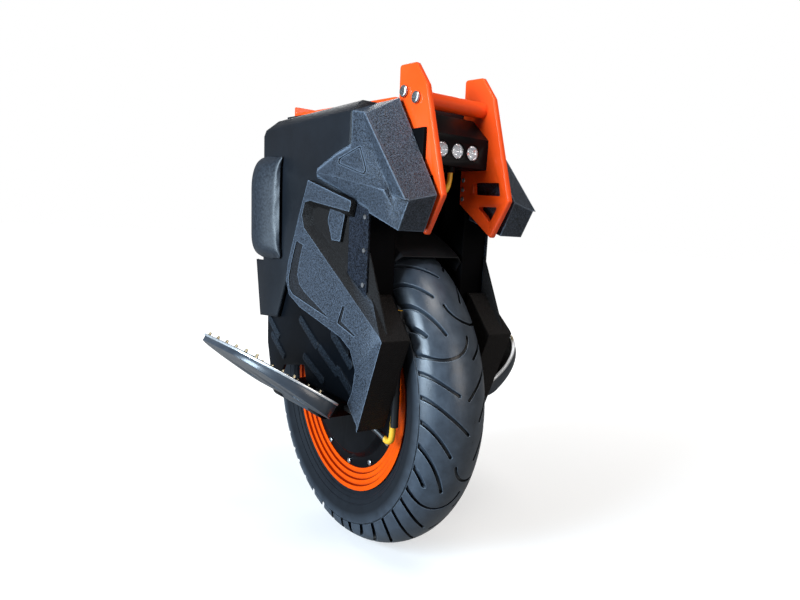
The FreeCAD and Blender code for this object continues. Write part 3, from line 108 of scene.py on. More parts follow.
def soft_box(name, place, target, size, power, tint):
    """A soft light of a given width and height that faces its target."""
    light = bpy.data.lights.new(name, "AREA")
    light.shape = "RECTANGLE"
    light.size, light.size_y = size
    light.energy = power
    light.color = tint
    lamp = bpy.data.objects.new(name, light)
    scene.collection.objects.link(lamp)
    lamp.location = place
    lamp.rotation_euler = (Vector(target) - Vector(place)).to_track_quat("-Z", "Y").to_euler()


middle = (0.0, 0.0, 0.35)
low_middle = (0.0, -0.1, 0.25)
cool_light = (0.68, 0.85, 1.0)
soft_box("right_box", (-2.2, -0.3, 1.1), middle, (0.9, 1.2), 105.0, cool_light)
soft_box("over_box", (-0.2, -0.9, 2.3), middle, (1.0, 1.0), 24.0, (1.0, 0.97, 0.93))
soft_box("front_box", (0.5, -2.4, 1.0), middle, (0.9, 1.2), 17.0, (1.0, 0.93, 0.86))
soft_box("low_box", (-1.7, 0.25, 0.2), low_middle, (0.9, 0.35), 16.0, cool_light)
soft_box("back_box", (1.2, 1.9, 1.3), middle, (1.4, 1.4), 26.0, (1.0, 1.0, 1.0))

bpy.ops.object.select_all(action="DESELECT")
bpy.ops.mesh.primitive_plane_add(size=60.0, location=(0, 0, 0))
floor = bpy.context.object
floor.name = "floor"
paper = bpy.data.materials.new("white_paper")
paper.use_nodes = True
paper_tree = paper.node_tree
paper_shader = paper_tree.nodes["Principled BSDF"]
paper_shader.inputs["Roughness"].default_value = 0.9
paper_shader.inputs["Specular IOR Level"].default_value = 0.1
paper_shader.inputs["Emission Color"].default_value = (1.0, 1.0, 1.0, 1)
paper_path = paper_tree.nodes.new("ShaderNodeLightPath")
paper_place = paper_tree.nodes.new("ShaderNodeTexCoord")
paper_mirrored = 0.15
paper_level = reckon(paper_tree, "MULTIPLY_ADD", paper_path.outputs["Is Glossy Ray"], paper_mirrored,
                     white_seen(paper_tree, paper_path))
paper_reach = reach_of(paper_tree, paper_place.outputs["Object"])
paper_fade = graded(paper_tree, paper_reach, start=0.3, end=2.4, low=0.5, high=1.0)
paper_glow = reckon(paper_tree, "MULTIPLY", paper_level, paper_fade)
paper_tree.links.new(paper_glow, paper_shader.inputs["Emission Strength"])
paper_tone = graded(paper_tree, paper_path.outputs["Is Camera Ray"], low=0.2, high=0.55)
paper_tree.links.new(paper_tone, paper_shader.inputs["Base Color"])
floor.data.materials.append(paper)


# Tyre: black road rubber moulded in one piece and seated on the rim. Its crown is shinier than its
# dull sides, which carry fine raised rings, and is a lighter, bluer grey, which is a painted sheen.
# Its groove lips carry a painted highlight and its grooves painted shade.
def speckle(tree, value, colours, spread=(0.0, 1.0)):
    """A colour that goes from the first to the second as the value crosses the spread."""
    ramp = tree.nodes.new("ShaderNodeValToRGB")
    for stop, position, colour in zip(ramp.color_ramp.elements, spread, colours):
        stop.position = position
        stop.color = (*colour, 1)
    tree.links.new(value, ramp.inputs["Fac"])
    return ramp.outputs["Color"]


def two_tone(tree, share, under, over):
    """One colour that passes into another as the share goes from nought to one."""
    blend = tree.nodes.new("ShaderNodeMix")
    blend.data_type = "RGBA"
    tree.links.new(share, blend.inputs["Factor"])
    for name, colour in (("A", under), ("B", over)):
        if isinstance(colour, tuple):
            blend.inputs[name].default_value = (*colour, 1)
        else:
            tree.links.new(colour, blend.inputs[name])
    return blend.outputs["Result"]


def overpaint(tree, share, colour):
    """Lays another colour over a finish as far as the share says."""
    paint = tree.nodes["Principled BSDF"].inputs["Base Color"]
    tree.links.new(two_tone(tree, share, paint.links[0].from_socket, colour), paint)


def surface(name, colours, rough, patch, grain, metallic=0.0, coat=0.0, shine=0.5,
            stretch=(1, 1, 1), cells=False, spread=(0.3, 0.7), soft=0.0, edge_highlight=None, shade_reach=0.0,
            shade_tone=(0.003, 0.003, 0.004)):
    """A finish with patches of colour and gloss and a fine raised grain.

    Patch is the scale of the patches, and grain the scale, strength and height of the grain.
    Soft is the radius of eased edges, lit by a painted highlight in the edge colour. The shade reach
    and tone lay painted shade in grooves and corners.
    """
    material = bpy.data.materials.new(name)
    material.use_nodes = True
    tree = material.node_tree
    nodes = tree.nodes
    links = tree.links
    shader = nodes["Principled BSDF"]
    paint = shader.inputs["Base Color"]
    shader.inputs["Metallic"].default_value = metallic
    shader.inputs["Coat Weight"].default_value = coat
    shader.inputs["Specular IOR Level"].default_value = shine
    shader.inputs["Coat Roughness"].default_value = 0.12
    place = nodes.new("ShaderNodeTexCoord")
    turn = nodes.new("ShaderNodeMapping")
    turn.inputs["Scale"].default_value = stretch
    links.new(place.outputs["Object"], turn.inputs["Vector"])
    patches = nodes.new("ShaderNodeTexNoise")
    patches.inputs["Scale"].default_value = patch
    patches.inputs["Detail"].default_value = 6.0
    patches.inputs["Roughness"].default_value = 0.6
    links.new(turn.outputs["Vector"], patches.inputs["Vector"])
    links.new(speckle(tree, patches.outputs["Fac"], colours, spread), paint)
    links.new(graded(tree, patches.outputs["Fac"], *spread, *rough), shader.inputs["Roughness"])
    if cells:
        fine = nodes.new("ShaderNodeTexVoronoi")
        height = fine.outputs["Distance"]
    else:
        fine = nodes.new("ShaderNodeTexNoise")
        fine.inputs["Detail"].default_value = 3.0
        height = fine.outputs["Fac"]
    fine.inputs["Scale"].default_value = grain[0]
    links.new(turn.outputs["Vector"], fine.inputs["Vector"])
    bump = nodes.new("ShaderNodeBump")
    bump.inputs["Strength"].default_value = grain[1]
    bump.inputs["Distance"].default_value = grain[2]
    links.new(height, bump.inputs["Height"])
    links.new(bump.outputs["Normal"], shader.inputs["Normal"])
    if soft:
        eased = nodes.new("ShaderNodeBevel")
        eased.samples = 6
        eased.inputs["Radius"].default_value = soft
        links.new(eased.outputs["Normal"], bump.inputs["Normal"])
    # Painted highlight: the colour is lightened at edges, where the eased normal turns from the true
    # one.
    if edge_highlight:
        shape = nodes.new("ShaderNodeNewGeometry")
        turned = nodes.new("ShaderNodeVectorMath")
        turned.operation = "DOT_PRODUCT"
        links.new(eased.outputs["Normal"], turned.inputs[0])
        links.new(shape.outputs["True Normal"], turned.inputs[1])
        overpaint(tree, graded(tree, turned.outputs["Value"], start=0.995, end=0.86), edge_highlight)
    # Painted shade: ambient occlusion darkens the colour in grooves, creases and corners.
    if shade_reach:
        shade = nodes.new("ShaderNodeAmbientOcclusion")
        shade.samples = 8
        shade.inputs["Distance"].default_value = shade_reach
        unshaded_share = graded(tree, shade.outputs["AO"], start=0.55, end=0.96)
        links.new(two_tone(tree, unshaded_share, shade_tone, paint.links[0].from_socket), paint)
    return material


def dress(names, material, edge=0.0, split=32.0):
    """Gives CAD nodes their finish, smooth curves and, where edge is set, eased edges."""
    for name in names:
        node = node_objects[name]
        node.data.materials.clear()
        node.data.materials.append(material)
        node.data.polygons.foreach_set("use_smooth", [True] * len(node.data.polygons))
        weld = node.modifiers.new("weld", "WELD")
        weld.merge_threshold = 0.00001
        if edge:
            flat = node.modifiers.new("flat", "DECIMATE")
            flat.decimate_type = "DISSOLVE"
            flat.angle_limit = math.radians(0.6)
            ease = node.modifiers.new("ease", "BEVEL")
            ease.width = edge
            ease.segments = 2
            ease.limit_method = "ANGLE"
            ease.angle_limit = math.radians(split)
            ease.harden_normals = True
        else:
            crease = node.modifiers.new("crease", "EDGE_SPLIT")
            crease.split_angle = math.radians(split)


def made(scale=(1, 1, 1)):
    """The piece that was just added, with its place, turn and scale laid into its mesh."""
    piece = bpy.context.object
    piece.scale = scale
    bpy.ops.object.transform_apply(location=True, rotation=True, scale=True)
    return piece


def joined(pieces, name):
    """Makes one piece of several and leaves it selected."""
    bpy.ops.object.select_all(action="DESELECT")
    for piece in pieces:
        piece.select_set(True)
    bpy.context.view_layer.objects.active = pieces[0]
    bpy.ops.object.join()
    whole = bpy.context.object
    whole.name = name
    return whole


def fit(piece, material, body, node=None):
    """Gives a new piece its finish and body, and hides the CAD node whose place it takes."""
    piece.data.materials.clear()
    piece.data.materials.append(material)
    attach(piece, body)
    if node:
        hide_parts(node)


axle_height = 0.2515
along_axle = (0, math.radians(90), 0)
crown_start = 0.196
crown_full = 0.218
# Lighter groove lips are a painted highlight, and dark grooves painted shade.
tyre_rubber = surface("tyre_rubber", ((0.029, 0.037, 0.049), (0.05, 0.064, 0.084)),
                      rough=(0.27, 0.4), patch=60.0, grain=(700.0, 0.3, 0.0004), soft=0.0014,
                      edge_highlight=(0.13, 0.165, 0.21), shade_reach=0.005)
rubber_tree = tyre_rubber.node_tree
rubber_nodes = rubber_tree.nodes
rubber_inputs = rubber_nodes["Principled BSDF"].inputs
rubber_hub = rubber_nodes.new("ShaderNodeMapping")
rubber_hub.inputs["Location"].default_value = (0, 0, -axle_height)
rubber_hub.inputs["Scale"].default_value = (0, 1, 1)
rubber_tree.links.new(rubber_nodes["Texture Coordinate"].outputs["Object"],
                      rubber_hub.inputs["Vector"])
rubber_radius = reach_of(rubber_tree, rubber_hub.outputs["Vector"])
# Painted sheen: from the sides to the crown the colour passes from a dark grey into the finish's
# lighter, bluer grey, as gloss and shine rise.
rubber_crown = graded(rubber_tree, rubber_radius, crown_start, crown_full)
rubber_dark = speckle(rubber_tree, rubber_nodes["Noise Texture"].outputs["Fac"],
                      ((0.006, 0.007, 0.009), (0.014, 0.016, 0.02)))
rubber_sheen_tone = two_tone(rubber_tree, rubber_crown, rubber_dark,
                       rubber_inputs["Base Color"].links[0].from_socket)
rubber_tree.links.new(rubber_sheen_tone, rubber_inputs["Base Color"])
rubber_dull = graded(rubber_tree, rubber_crown, low=0.3, high=0.0)
rubber_gloss = reckon(rubber_tree, "ADD", rubber_dull,
                      rubber_inputs["Roughness"].links[0].from_socket)
rubber_tree.links.new(rubber_gloss, rubber_inputs["Roughness"])
rubber_shine = graded(rubber_tree, rubber_crown, low=0.1, high=0.5)
rubber_tree.links.new(rubber_shine, rubber_inputs["Specular IOR Level"])
dress(["tyre"], tyre_rubber)
beside_tyre = 0.2
ring_radii = (0.1705, 0.1755, 0.1835)
ring_thickness = 0.0011
ring_flatness = 0.6
mould_rings = []
for side in (-1, 1):
    for radius in ring_radii:
        start = (side * beside_tyre, 0, axle_height - radius)
        spot = node_objects["tyre"].ray_cast(start, (-side, 0, 0))[1]
        bpy.ops.object.select_all(action="DESELECT")
        bpy.ops.mesh.primitive_torus_add(major_radius=radius, minor_radius=ring_thickness,
                                         major_segments=144, minor_segments=8,
                                         location=(spot.x, 0, axle_height), rotation=along_axle)
        mould_rings.append(made(scale=(1, 1, ring_flatness)))
tyre_rings = joined(mould_rings, "tyre_rings")
bpy.ops.object.shade_smooth()
fit(tyre_rings, tyre_rubber, "wheel")


# Rim: cast alloy, turned in steps down to the motor and painted red-orange. The risers between the
# steps and the corners of the steps are overlaid with a darker red, which is painted shade.
def sideways(tree, vector):
    """How far a place or a normal reaches to either side."""
    parts = tree.nodes.new("ShaderNodeSeparateXYZ")
    tree.links.new(vector, parts.inputs["Vector"])
    return reckon(tree, "ABSOLUTE", parts.outputs["X"])


# The darker red in the corners of the steps is painted shade.
rim_paint = surface("rim_paint", ((0.66, 0.062, 0.0004), (0.78, 0.08, 0.0008)),
                    rough=(0.2, 0.3), patch=14.0, grain=(500.0, 0.06, 0.0002), coat=0.06,
                    shine=0.06, shade_reach=0.005, shade_tone=(0.12, 0.003, 0.0002))
rim_tree = rim_paint.node_tree
rim_shape = rim_tree.nodes.new("ShaderNodeNewGeometry")
rim_facing = sideways(rim_tree, rim_shape.outputs["True Normal"])
# Painted shade: faces that do not look to the side, the risers, are overlaid with a dark red.
rim_riser_shade = graded(rim_tree, rim_facing, start=0.8, end=0.6)
overpaint(rim_tree, rim_riser_shade, (0.2, 0.008, 0.0003))
dress(["rim"], rim_paint)


# Motor: two domed alloy lids in black, held on the rim by a ring of button
# screws. They close in the bearings, the magnets and the slotted core.
def both(name):
    """The names of a left and a right piece."""
    return [name + "_left", name + "_right"]


def rounded(piece, width, segments):
    """Rounds the sharp edges of a piece."""
    bpy.context.view_layer.objects.active = piece
    ease = piece.modifiers.new("ease", "BEVEL")
    ease.width = width
    ease.segments = segments
    ease.limit_method = "ANGLE"
    ease.angle_limit = math.radians(60)
    bpy.ops.object.modifier_apply(modifier="ease")


def cut(piece, cutter):
    """Takes the shape of a cutter out of a piece."""
    bpy.context.view_layer.objects.active = piece
    hole = piece.modifiers.new("hole", "BOOLEAN")
    hole.operation = "DIFFERENCE"
    hole.object = cutter
    bpy.ops.object.modifier_apply(modifier="hole")
    bpy.data.objects.remove(cutter)


def socket_head(radius, height):
    """A button head along +X with its edge rounded and a six-sided socket."""
    bpy.ops.object.select_all(action="DESELECT")
    bpy.ops.mesh.primitive_cylinder_add(vertices=24, radius=radius, depth=height,
                                        location=(height / 2, 0, 0), rotation=along_axle)
    head = made()
    dome_width = height * 0.55
    rounded(head, dome_width, segments=4)
    key_radius = radius * 0.5
    key_middle = height * 0.95
    bpy.ops.object.select_all(action="DESELECT")
    bpy.ops.mesh.primitive_cylinder_add(vertices=6, radius=key_radius, depth=height,
                                        location=(key_middle, 0, 0), rotation=along_axle)
    cut(head, bpy.context.object)
    return head


def copies_at(pattern, moves):
    """Copies of a pattern, each with a mesh of its own that is moved into place."""
    copies = []
    for move in moves:
        copy = pattern.copy()
        copy.data = pattern.data.copy()
        copy.data.transform(move)
        scene.collection.objects.link(copy)
        copies.append(copy)
    return copies


def set_heads(name, head, spots, material, body, node):
    """Copies one head to each (place, way it faces) and joins the copies."""
    moves = []
    for place, way in spots:
        turn = Vector((1, 0, 0)).rotation_difference(Vector(way)).to_matrix().to_4x4()
        moves.append(Matrix.Translation(place) @ turn)
    heads = joined(copies_at(head, moves), name)
    bpy.ops.object.shade_smooth_by_angle(angle=math.radians(35))
    fit(heads, material, body, node)


black_alloy = surface("black_alloy", ((0.002, 0.002, 0.0025), (0.005, 0.005, 0.006)),
                      rough=(0.3, 0.42), patch=20.0, grain=(700.0, 0.12, 0.0002), shine=0.08)
dress(both("motor_cover"), black_alloy, edge=0.001)
bright_steel = surface("bright_steel", ((0.42, 0.42, 0.43), (0.6, 0.6, 0.61)),
                       rough=(0.22, 0.38), patch=60.0, grain=(800.0, 0.08, 0.0001),
                       metallic=1.0, stretch=(1, 1, 8))
dress(["bearings", "axle", "axle_nuts", "hinge_pins"], bright_steel)
core_iron = surface("core_iron", ((0.09, 0.07, 0.05), (0.16, 0.14, 0.12)),
                    rough=(0.5, 0.7), patch=50.0, grain=(600.0, 0.2, 0.0003), metallic=0.7)
dress(["stator", "magnet_ring"], core_iron)
cover_face = 0.029
screw_circle = 0.124
screw_count = 12
screw_head = socket_head(radius=0.0046, height=0.003)
cover_ring = []
for side in (-1, 1):
    for step in range(screw_count):
        angle = 2 * math.pi * step / screw_count
        spot = Vector((side * cover_face, screw_circle * math.sin(angle),
                       axle_height + screw_circle * math.cos(angle)))
        cover_ring.append((spot, (side, 0, 0)))
set_heads("cover_screw_heads", screw_head, cover_ring, bright_steel, "wheel", "cover_screws")

# Carriage: black alloy hangers with the pedal shelves, and the moulded mudguard
# and side skirts fixed to them. They slide up with the wheel on chromed stanchions.
dress(both("hanger"), black_alloy, edge=0.0012)
chrome = surface("fork_chrome", ((0.6, 0.6, 0.62), (0.7, 0.7, 0.72)),
                 rough=(0.05, 0.1), patch=30.0, grain=(400.0, 0.02, 0.0001), metallic=1.0)
dress(["stanchions"], chrome)
guard_plastic = surface("guard_plastic", ((0.005, 0.005, 0.006), (0.01, 0.01, 0.011)),
                        rough=(0.36, 0.5), patch=16.0, grain=(1100.0, 0.2, 0.0003), shine=0.25)
dress(["mudguard"], guard_plastic, edge=0.001)
dress(["lead_conduit"], guard_plastic)
boss_foot = 0.0962
boss_face = 0.0975
skirt_plastic = surface("skirt_plastic", ((0.0015, 0.002, 0.003), (0.004, 0.0055, 0.008)),
                        rough=(0.3, 0.42), patch=7.0, grain=(800.0, 0.1, 0.0002), shine=0.08,
                        soft=0.006)
skirt_tree = skirt_plastic.node_tree
skirt_place = skirt_tree.nodes["Texture Coordinate"].outputs["Object"]
skirt_boss = graded(skirt_tree, sideways(skirt_tree, skirt_place), boss_foot, boss_face)
skirt_grain = skirt_tree.nodes.new("ShaderNodeTexNoise")
skirt_grain.inputs["Scale"].default_value = 420.0
skirt_tree.links.new(skirt_place, skirt_grain.inputs["Vector"])
boss_tone = speckle(skirt_tree, skirt_grain.outputs["Fac"],
                    ((0.004, 0.005, 0.007), (0.026, 0.034, 0.045)), spread=(0.38, 0.66))
overpaint(skirt_tree, skirt_boss, boss_tone)
dress(both("side_skirt"), skirt_plastic)

# Leads: two cables in yellow sleeves, the motor's from the pedal shelf, where it
# wears a black shrunk tube, up through its conduit, and the headlight's from a
# gland under the lamps to the right leg.
lead_sleeve = surface("lead_sleeve", ((0.72, 0.36, 0.015), (0.85, 0.46, 0.03)),
                      rough=(0.35, 0.5), patch=40.0, grain=(1500.0, 0.2, 0.0003))
motor_sleeve = lead_sleeve.copy()
motor_sleeve.name = "motor_sleeve"
tube_start = -0.1505
tube_full = -0.1495
sleeve_tree = motor_sleeve.node_tree
sleeve_nodes = sleeve_tree.nodes
sleeve_place = sleeve_nodes.new("ShaderNodeSeparateXYZ")
sleeve_tree.links.new(sleeve_nodes["Texture Coordinate"].outputs["Object"],
                      sleeve_place.inputs["Vector"])
sleeve_tube = graded(sleeve_tree, sleeve_place.outputs["Y"], tube_start, tube_full)
tube_black = speckle(sleeve_tree, sleeve_nodes["Noise Texture"].outputs["Fac"],
                     ((0.004, 0.004, 0.004), (0.012, 0.012, 0.013)))
overpaint(sleeve_tree, sleeve_tube, tube_black)


def sleeved_lead(name, route, thick, body, sleeve):
    """A round cable along its route, in place of the CAD node of that name."""
    line = bpy.data.curves.new(name, "CURVE")
    line.dimensions = "3D"
    line.bevel_depth = thick / 2
    line.bevel_resolution = 4
    line.resolution_u = 10
    line.use_fill_caps = True
    run = line.splines.new("NURBS")
    run.points.add(len(route) - 1)
    for point, place in zip(run.points, route):
        point.co = (*place, 1)
    run.order_u = 3
    run.use_endpoint_u = True
    cable = bpy.data.objects.new(name + "_cable", line)
    scene.collection.objects.link(cable)
    fit(cable, sleeve, body, name)


motor_route = [(-0.085, -0.0772, 0.243), (-0.085, -0.0972, 0.243), (-0.075, -0.118, 0.231),
               (-0.064, -0.141, 0.218), (-0.06195, -0.15725, 0.209), (-0.06195, -0.1685, 0.224),
               (-0.06195, -0.1685, 0.3965)]
sleeved_lead("motor_lead", motor_route, thick=0.009,
             body="carriage", sleeve=motor_sleeve)
headlight_route = [(0, -0.18, 0.5775), (0, -0.18, 0.5635), (-0.007, -0.178, 0.55),
                   (-0.018, -0.168, 0.543), (-0.03, -0.15, 0.544), (-0.04, -0.133, 0.552),
                   (-0.0585, -0.133, 0.552)]
sleeved_lead("headlight_lead", headlight_route, thick=0.007,
             body="chassis", sleeve=lead_sleeve)


# Pedals: cast alloy wedges in black with a bright machined deck, screwed-in spikes
# with a brassy plating and a sheet of black grit glued on between them.
def node_copy(node, name):
    """A copy of a CAD node with its triangles merged, left selected and in edit mode."""
    skin = node_objects[node].data.copy()
    skin.materials.clear()
    piece = bpy.data.objects.new(name, skin)
    scene.collection.objects.link(piece)
    bpy.ops.object.select_all(action="DESELECT")
    piece.select_set(True)
    bpy.context.view_layer.objects.active = piece
    bpy.ops.object.mode_set(mode="EDIT")
    bpy.ops.mesh.select_all(action="SELECT")
    bpy.ops.mesh.remove_doubles(threshold=0.00002)
    return piece


pedal_paint = surface("pedal_paint", ((0.02, 0.025, 0.033), (0.038, 0.047, 0.061)),
                      rough=(0.28, 0.4), patch=12.0, grain=(600.0, 0.1, 0.0002), coat=0.3,
                      soft=0.002)
dress(both("pedal_base"), pedal_paint, edge=0.0015)
bright_alloy = surface("bright_alloy", ((0.72, 0.73, 0.75), (0.86, 0.87, 0.89)),
                       rough=(0.3, 0.45), patch=30.0, grain=(700.0, 0.08, 0.0002),
                       metallic=0.75, stretch=(1, 6, 1))
dress(both("pedal_deck"), bright_alloy, edge=0.0004)
spike_brass = surface("spike_brass", ((0.55, 0.46, 0.3), (0.72, 0.62, 0.42)),
                      rough=(0.25, 0.4), patch=80.0, grain=(900.0, 0.1, 0.0001), metallic=0.9)
dress(both("pedal_spikes"), spike_brass)
pedal_grit = surface("pedal_grit", ((0.003, 0.003, 0.0035), (0.02, 0.021, 0.023)),
                     rough=(0.7, 0.9), patch=700.0, grain=(900.0, 0.9, 0.001), shine=0.2,
                     cells=True, spread=(0.42, 0.62))
pedal_tilt = math.radians(32)
grit_margin = 0.005
grit_thickness = 0.0008
deck_facing = 0.99
for side, way in (("left", 1), ("right", -1)):
    up = Vector((-way * math.sin(pedal_tilt), 0, math.cos(pedal_tilt)))
    grit = node_copy("pedal_deck_" + side, "pedal_grit_" + side)
    bpy.ops.mesh.dissolve_limited(angle_limit=math.radians(0.5))
    bpy.ops.mesh.select_mode(type="FACE")
    bpy.ops.mesh.select_all(action="DESELECT")
    bpy.ops.object.mode_set(mode="OBJECT")
    for face in grit.data.polygons:
        face.select = face.normal.dot(up) < deck_facing
    bpy.ops.object.mode_set(mode="EDIT")
    bpy.ops.mesh.delete(type="FACE")
    bpy.ops.mesh.select_all(action="SELECT")
    bpy.ops.mesh.inset(thickness=grit_margin, depth=0)
    bpy.ops.mesh.select_all(action="INVERT")
    bpy.ops.mesh.delete(type="FACE")
    bpy.ops.mesh.select_all(action="SELECT")
    bpy.ops.mesh.extrude_region_move(TRANSFORM_OT_translate={"value": up * grit_thickness})
    bpy.ops.mesh.select_all(action="SELECT")
    bpy.ops.mesh.normals_make_consistent(inside=False)
    bpy.ops.object.mode_set(mode="OBJECT")
    fit(grit, pedal_grit, "pedal_" + side)

# Uprights and bridge: black box-section alloy, with textured plastic covers held to
# their outer sides by small pan heads. The wrapped batteries sit on the rear plates
# and the finned alloy controller on the bridge.
leg_black = surface("leg_black", ((0.001, 0.001, 0.0012), (0.0025, 0.0025, 0.003)),
                    rough=(0.45, 0.6), patch=20.0, grain=(900.0, 0.15, 0.0002), shine=0.04)
dress(both("leg") + ["top_frame", "rear_plates", "cage_arms", "fork_tubes"], leg_black, edge=0.0008)
cover_plastic = surface("cover_plastic", ((0.001, 0.0015, 0.003), (0.022, 0.027, 0.04)),
                        rough=(0.36, 0.52), patch=460.0, grain=(600.0, 0.6, 0.0013), shine=0.12,
                        cells=True, spread=(0.4, 0.66), soft=0.0015)
dress(both("leg_cover"), cover_plastic)
dress(["leg_screws"], bright_steel)
wrap = surface("battery_wrap", ((0.02, 0.04, 0.1), (0.03, 0.06, 0.14)),
               rough=(0.3, 0.4), patch=20.0, grain=(300.0, 0.1, 0.0003))
dress(both("battery"), wrap)
dress(["controller"], bright_alloy, edge=0.0005)

# Side shells: large thin mouldings in satin black, one each side, that close
# the body over the batteries.
satin_plastic = surface("satin_plastic", ((0.004, 0.0055, 0.0078), (0.009, 0.0115, 0.016)),
                        rough=(0.34, 0.46), patch=7.0, grain=(800.0, 0.12, 0.0003), shine=0.3,
                        soft=0.009)
dress(both("side_shell"), satin_plastic, edge=0.002)

# Leg pads: stiff textured mouldings fixed to the shells, an upper one with a faceted wing and a
# lower one with a deep recess. Both carry a painted highlight on their edges and painted shade in
# their grooves. The floor and the slopes of the recess are duller than the rest and are darkened
# with painted shade.
pad_plastic = surface("pad_plastic", ((0.002, 0.0026, 0.004), (0.078, 0.098, 0.132)),
                      rough=(0.32, 0.48), patch=520.0, grain=(640.0, 0.6, 0.0013), shine=0.28,
                      cells=True, spread=(0.36, 0.72), soft=0.0035, edge_highlight=(0.16, 0.2, 0.26),
                      shade_reach=0.006)
dress(both("upper_pad"), pad_plastic)
recess_plastic = pad_plastic.copy()
recess_plastic.name = "recess_plastic"
recess_bottom = 0.099
recess_brim = 0.113
recess_tree = recess_plastic.node_tree
recess_nodes = recess_tree.nodes
recess_place = recess_nodes["Texture Coordinate"].outputs["Object"]
recess_rise = graded(recess_tree, sideways(recess_tree, recess_place), recess_bottom, recess_brim)
recess_floor = speckle(recess_tree, recess_rise, ((1, 1, 1), (0, 0, 0)), spread=(0.2, 0.3))
for rise, level in ((0.5, 0.0), (0.6, 0.8), (0.84, 0.8), (0.9, 0.0)):
    recess_floor.node.color_ramp.elements.new(rise).color = (level, level, level, 1)
recess_shape = recess_nodes.new("ShaderNodeNewGeometry")
recess_facing = sideways(recess_tree, recess_shape.outputs["True Normal"])
recess_slope = graded(recess_tree, recess_facing, start=0.93, end=0.82)
recess_shade_share = reckon(recess_tree, "MAXIMUM", recess_floor, recess_slope)
recess_shine = graded(recess_tree, recess_shade_share, low=0.26, high=0.06)
recess_tree.links.new(recess_shine, recess_nodes["Principled BSDF"].inputs["Specular IOR Level"])
# Painted shade: the recess floor, found by depth, and its slopes, found by which way they face, are
# overlaid with a dark colour.
recess_painted_shade = speckle(recess_tree, recess_nodes["Noise Texture"].outputs["Fac"],
                      ((0.003, 0.003, 0.003), (0.024, 0.021, 0.02)))
overpaint(recess_tree, recess_shade_share, recess_painted_shade)
dress(both("lower_pad"), recess_plastic)

# Calf pads: soft foam with a smooth skin, rolled round the rear corners and
# glued to the shells. Each swells a little and its edges are drawn in.
calf_skin = surface("calf_skin", ((0.01, 0.0125, 0.017), (0.024, 0.03, 0.04)),
                    rough=(0.34, 0.44), patch=300.0, grain=(500.0, 0.25, 0.0004), shine=0.42,
                    spread=(0.36, 0.66))
full_top, full_foot, full_front = 0.5595, 0.4765, 0.1358
fall_top, fall_foot, fall_front = 0.05, 0.035, 0.045
shell_side, shell_rear = 0.103, 0.1858
corner_side, corner_rear = 0.085, 0.15
foam_bulge = 0.009
air_frames = 20
air_limit = 0.004
for side, way in (("left", 1), ("right", -1)):
    pad = node_copy("calf_pad_" + side, "calf_cushion_" + side)
    bpy.ops.mesh.normals_make_consistent(inside=False)
    bpy.ops.object.mode_set(mode="OBJECT")
    pad.data.remesh_voxel_size = 0.005
    bpy.ops.object.voxel_remesh()
    for vertex in pad.data.vertices:
        place = vertex.co
        fall = max(0.0, (place.z - full_top) / fall_top, (full_foot - place.z) / fall_foot,
                   (full_front - place.y) / fall_front)
        full = math.sqrt(max(0.0, 1 - min(fall, 1.0) ** 2))
        side_out = max(0.0, abs(place.x) - shell_side)
        rear_out = max(0.0, place.y - shell_rear)
        if side_out or rear_out:
            away = Vector((abs(place.x) - corner_side, place.y - corner_rear)).normalized()
            bulge = foam_bulge * full
            place.x = way * (abs(place.x) - side_out * (1 - full) + bulge * max(0.0, away.x))
            place.y += bulge * max(0.0, away.y) - rear_out * (1 - full)
    soften = pad.modifiers.new("soften", "SMOOTH")
    soften.factor = 0.5
    soften.iterations = 14
    bpy.ops.object.modifier_apply(modifier="soften")
    before = [vertex.co.copy() for vertex in pad.data.vertices]
    swell = pad.modifiers.new("swell", "CLOTH")
    swell.settings.use_pressure = True
    swell.settings.uniform_pressure_force = 4.0
    swell.settings.effector_weights.gravity = 0.0
    swell.settings.quality = 5
    swell.point_cache.frame_end = air_frames
    for step in range(1, air_frames + 1):
        scene.frame_set(step)
    bpy.ops.object.modifier_apply(modifier="swell")
    scene.frame_set(1)
    for vertex, old in zip(pad.data.vertices, before):
        move = vertex.co - old
        if move.length > air_limit:
            move *= air_limit / move.length
        vertex.co = old + move
    finer = pad.modifiers.new("finer", "SUBSURF")
    finer.levels = 1
    finer.render_levels = 1
    bpy.ops.object.modifier_apply(modifier="finer")
    bpy.ops.object.shade_smooth()
    fit(pad, calf_skin, "chassis", "calf_pad_" + side)

# Cage: thick alloy plates and a round bar, painted orange, that guard the
# headlight. Large button heads hold the plates to the arms.
cage_paint = surface("cage_paint", ((0.86, 0.066, 0.004), (0.94, 0.084, 0.007)),
                     rough=(0.3, 0.42), patch=10.0, grain=(600.0, 0.06, 0.0002), coat=0.3,
                     shine=0.35)
dress(both("cage_plate"), cage_paint, edge=0.0008)
dress(["crossbar"], cage_paint)
plate_outside = 0.0585
plate_inside = 0.0505
bolt_places = ((-0.1524, 0.6722), (-0.1792, 0.6617))
pin_places = ((-0.1483, 0.5478), (-0.1483, 0.5604), (-0.1483, 0.5731))
cage_head = socket_head(radius=0.0075, height=0.0045)
pin_head = socket_head(radius=0.0032, height=0.0015)
cage_spots = []
pin_spots = []
for side in (-1, 1):
    for y, z in bolt_places:
        cage_spots.append((Vector((side * plate_outside, y, z)), (side, 0, 0)))
    for y, z in pin_places:
        pin_spots.append((Vector((side * plate_inside, y, z)), (-side, 0, 0)))
set_heads("cage_bolt_heads", cage_head, cage_spots, bright_steel, "chassis", "cage_bolts")
set_heads("cage_pin_heads", pin_head, pin_spots, bright_steel, "chassis", "cage_bolts")

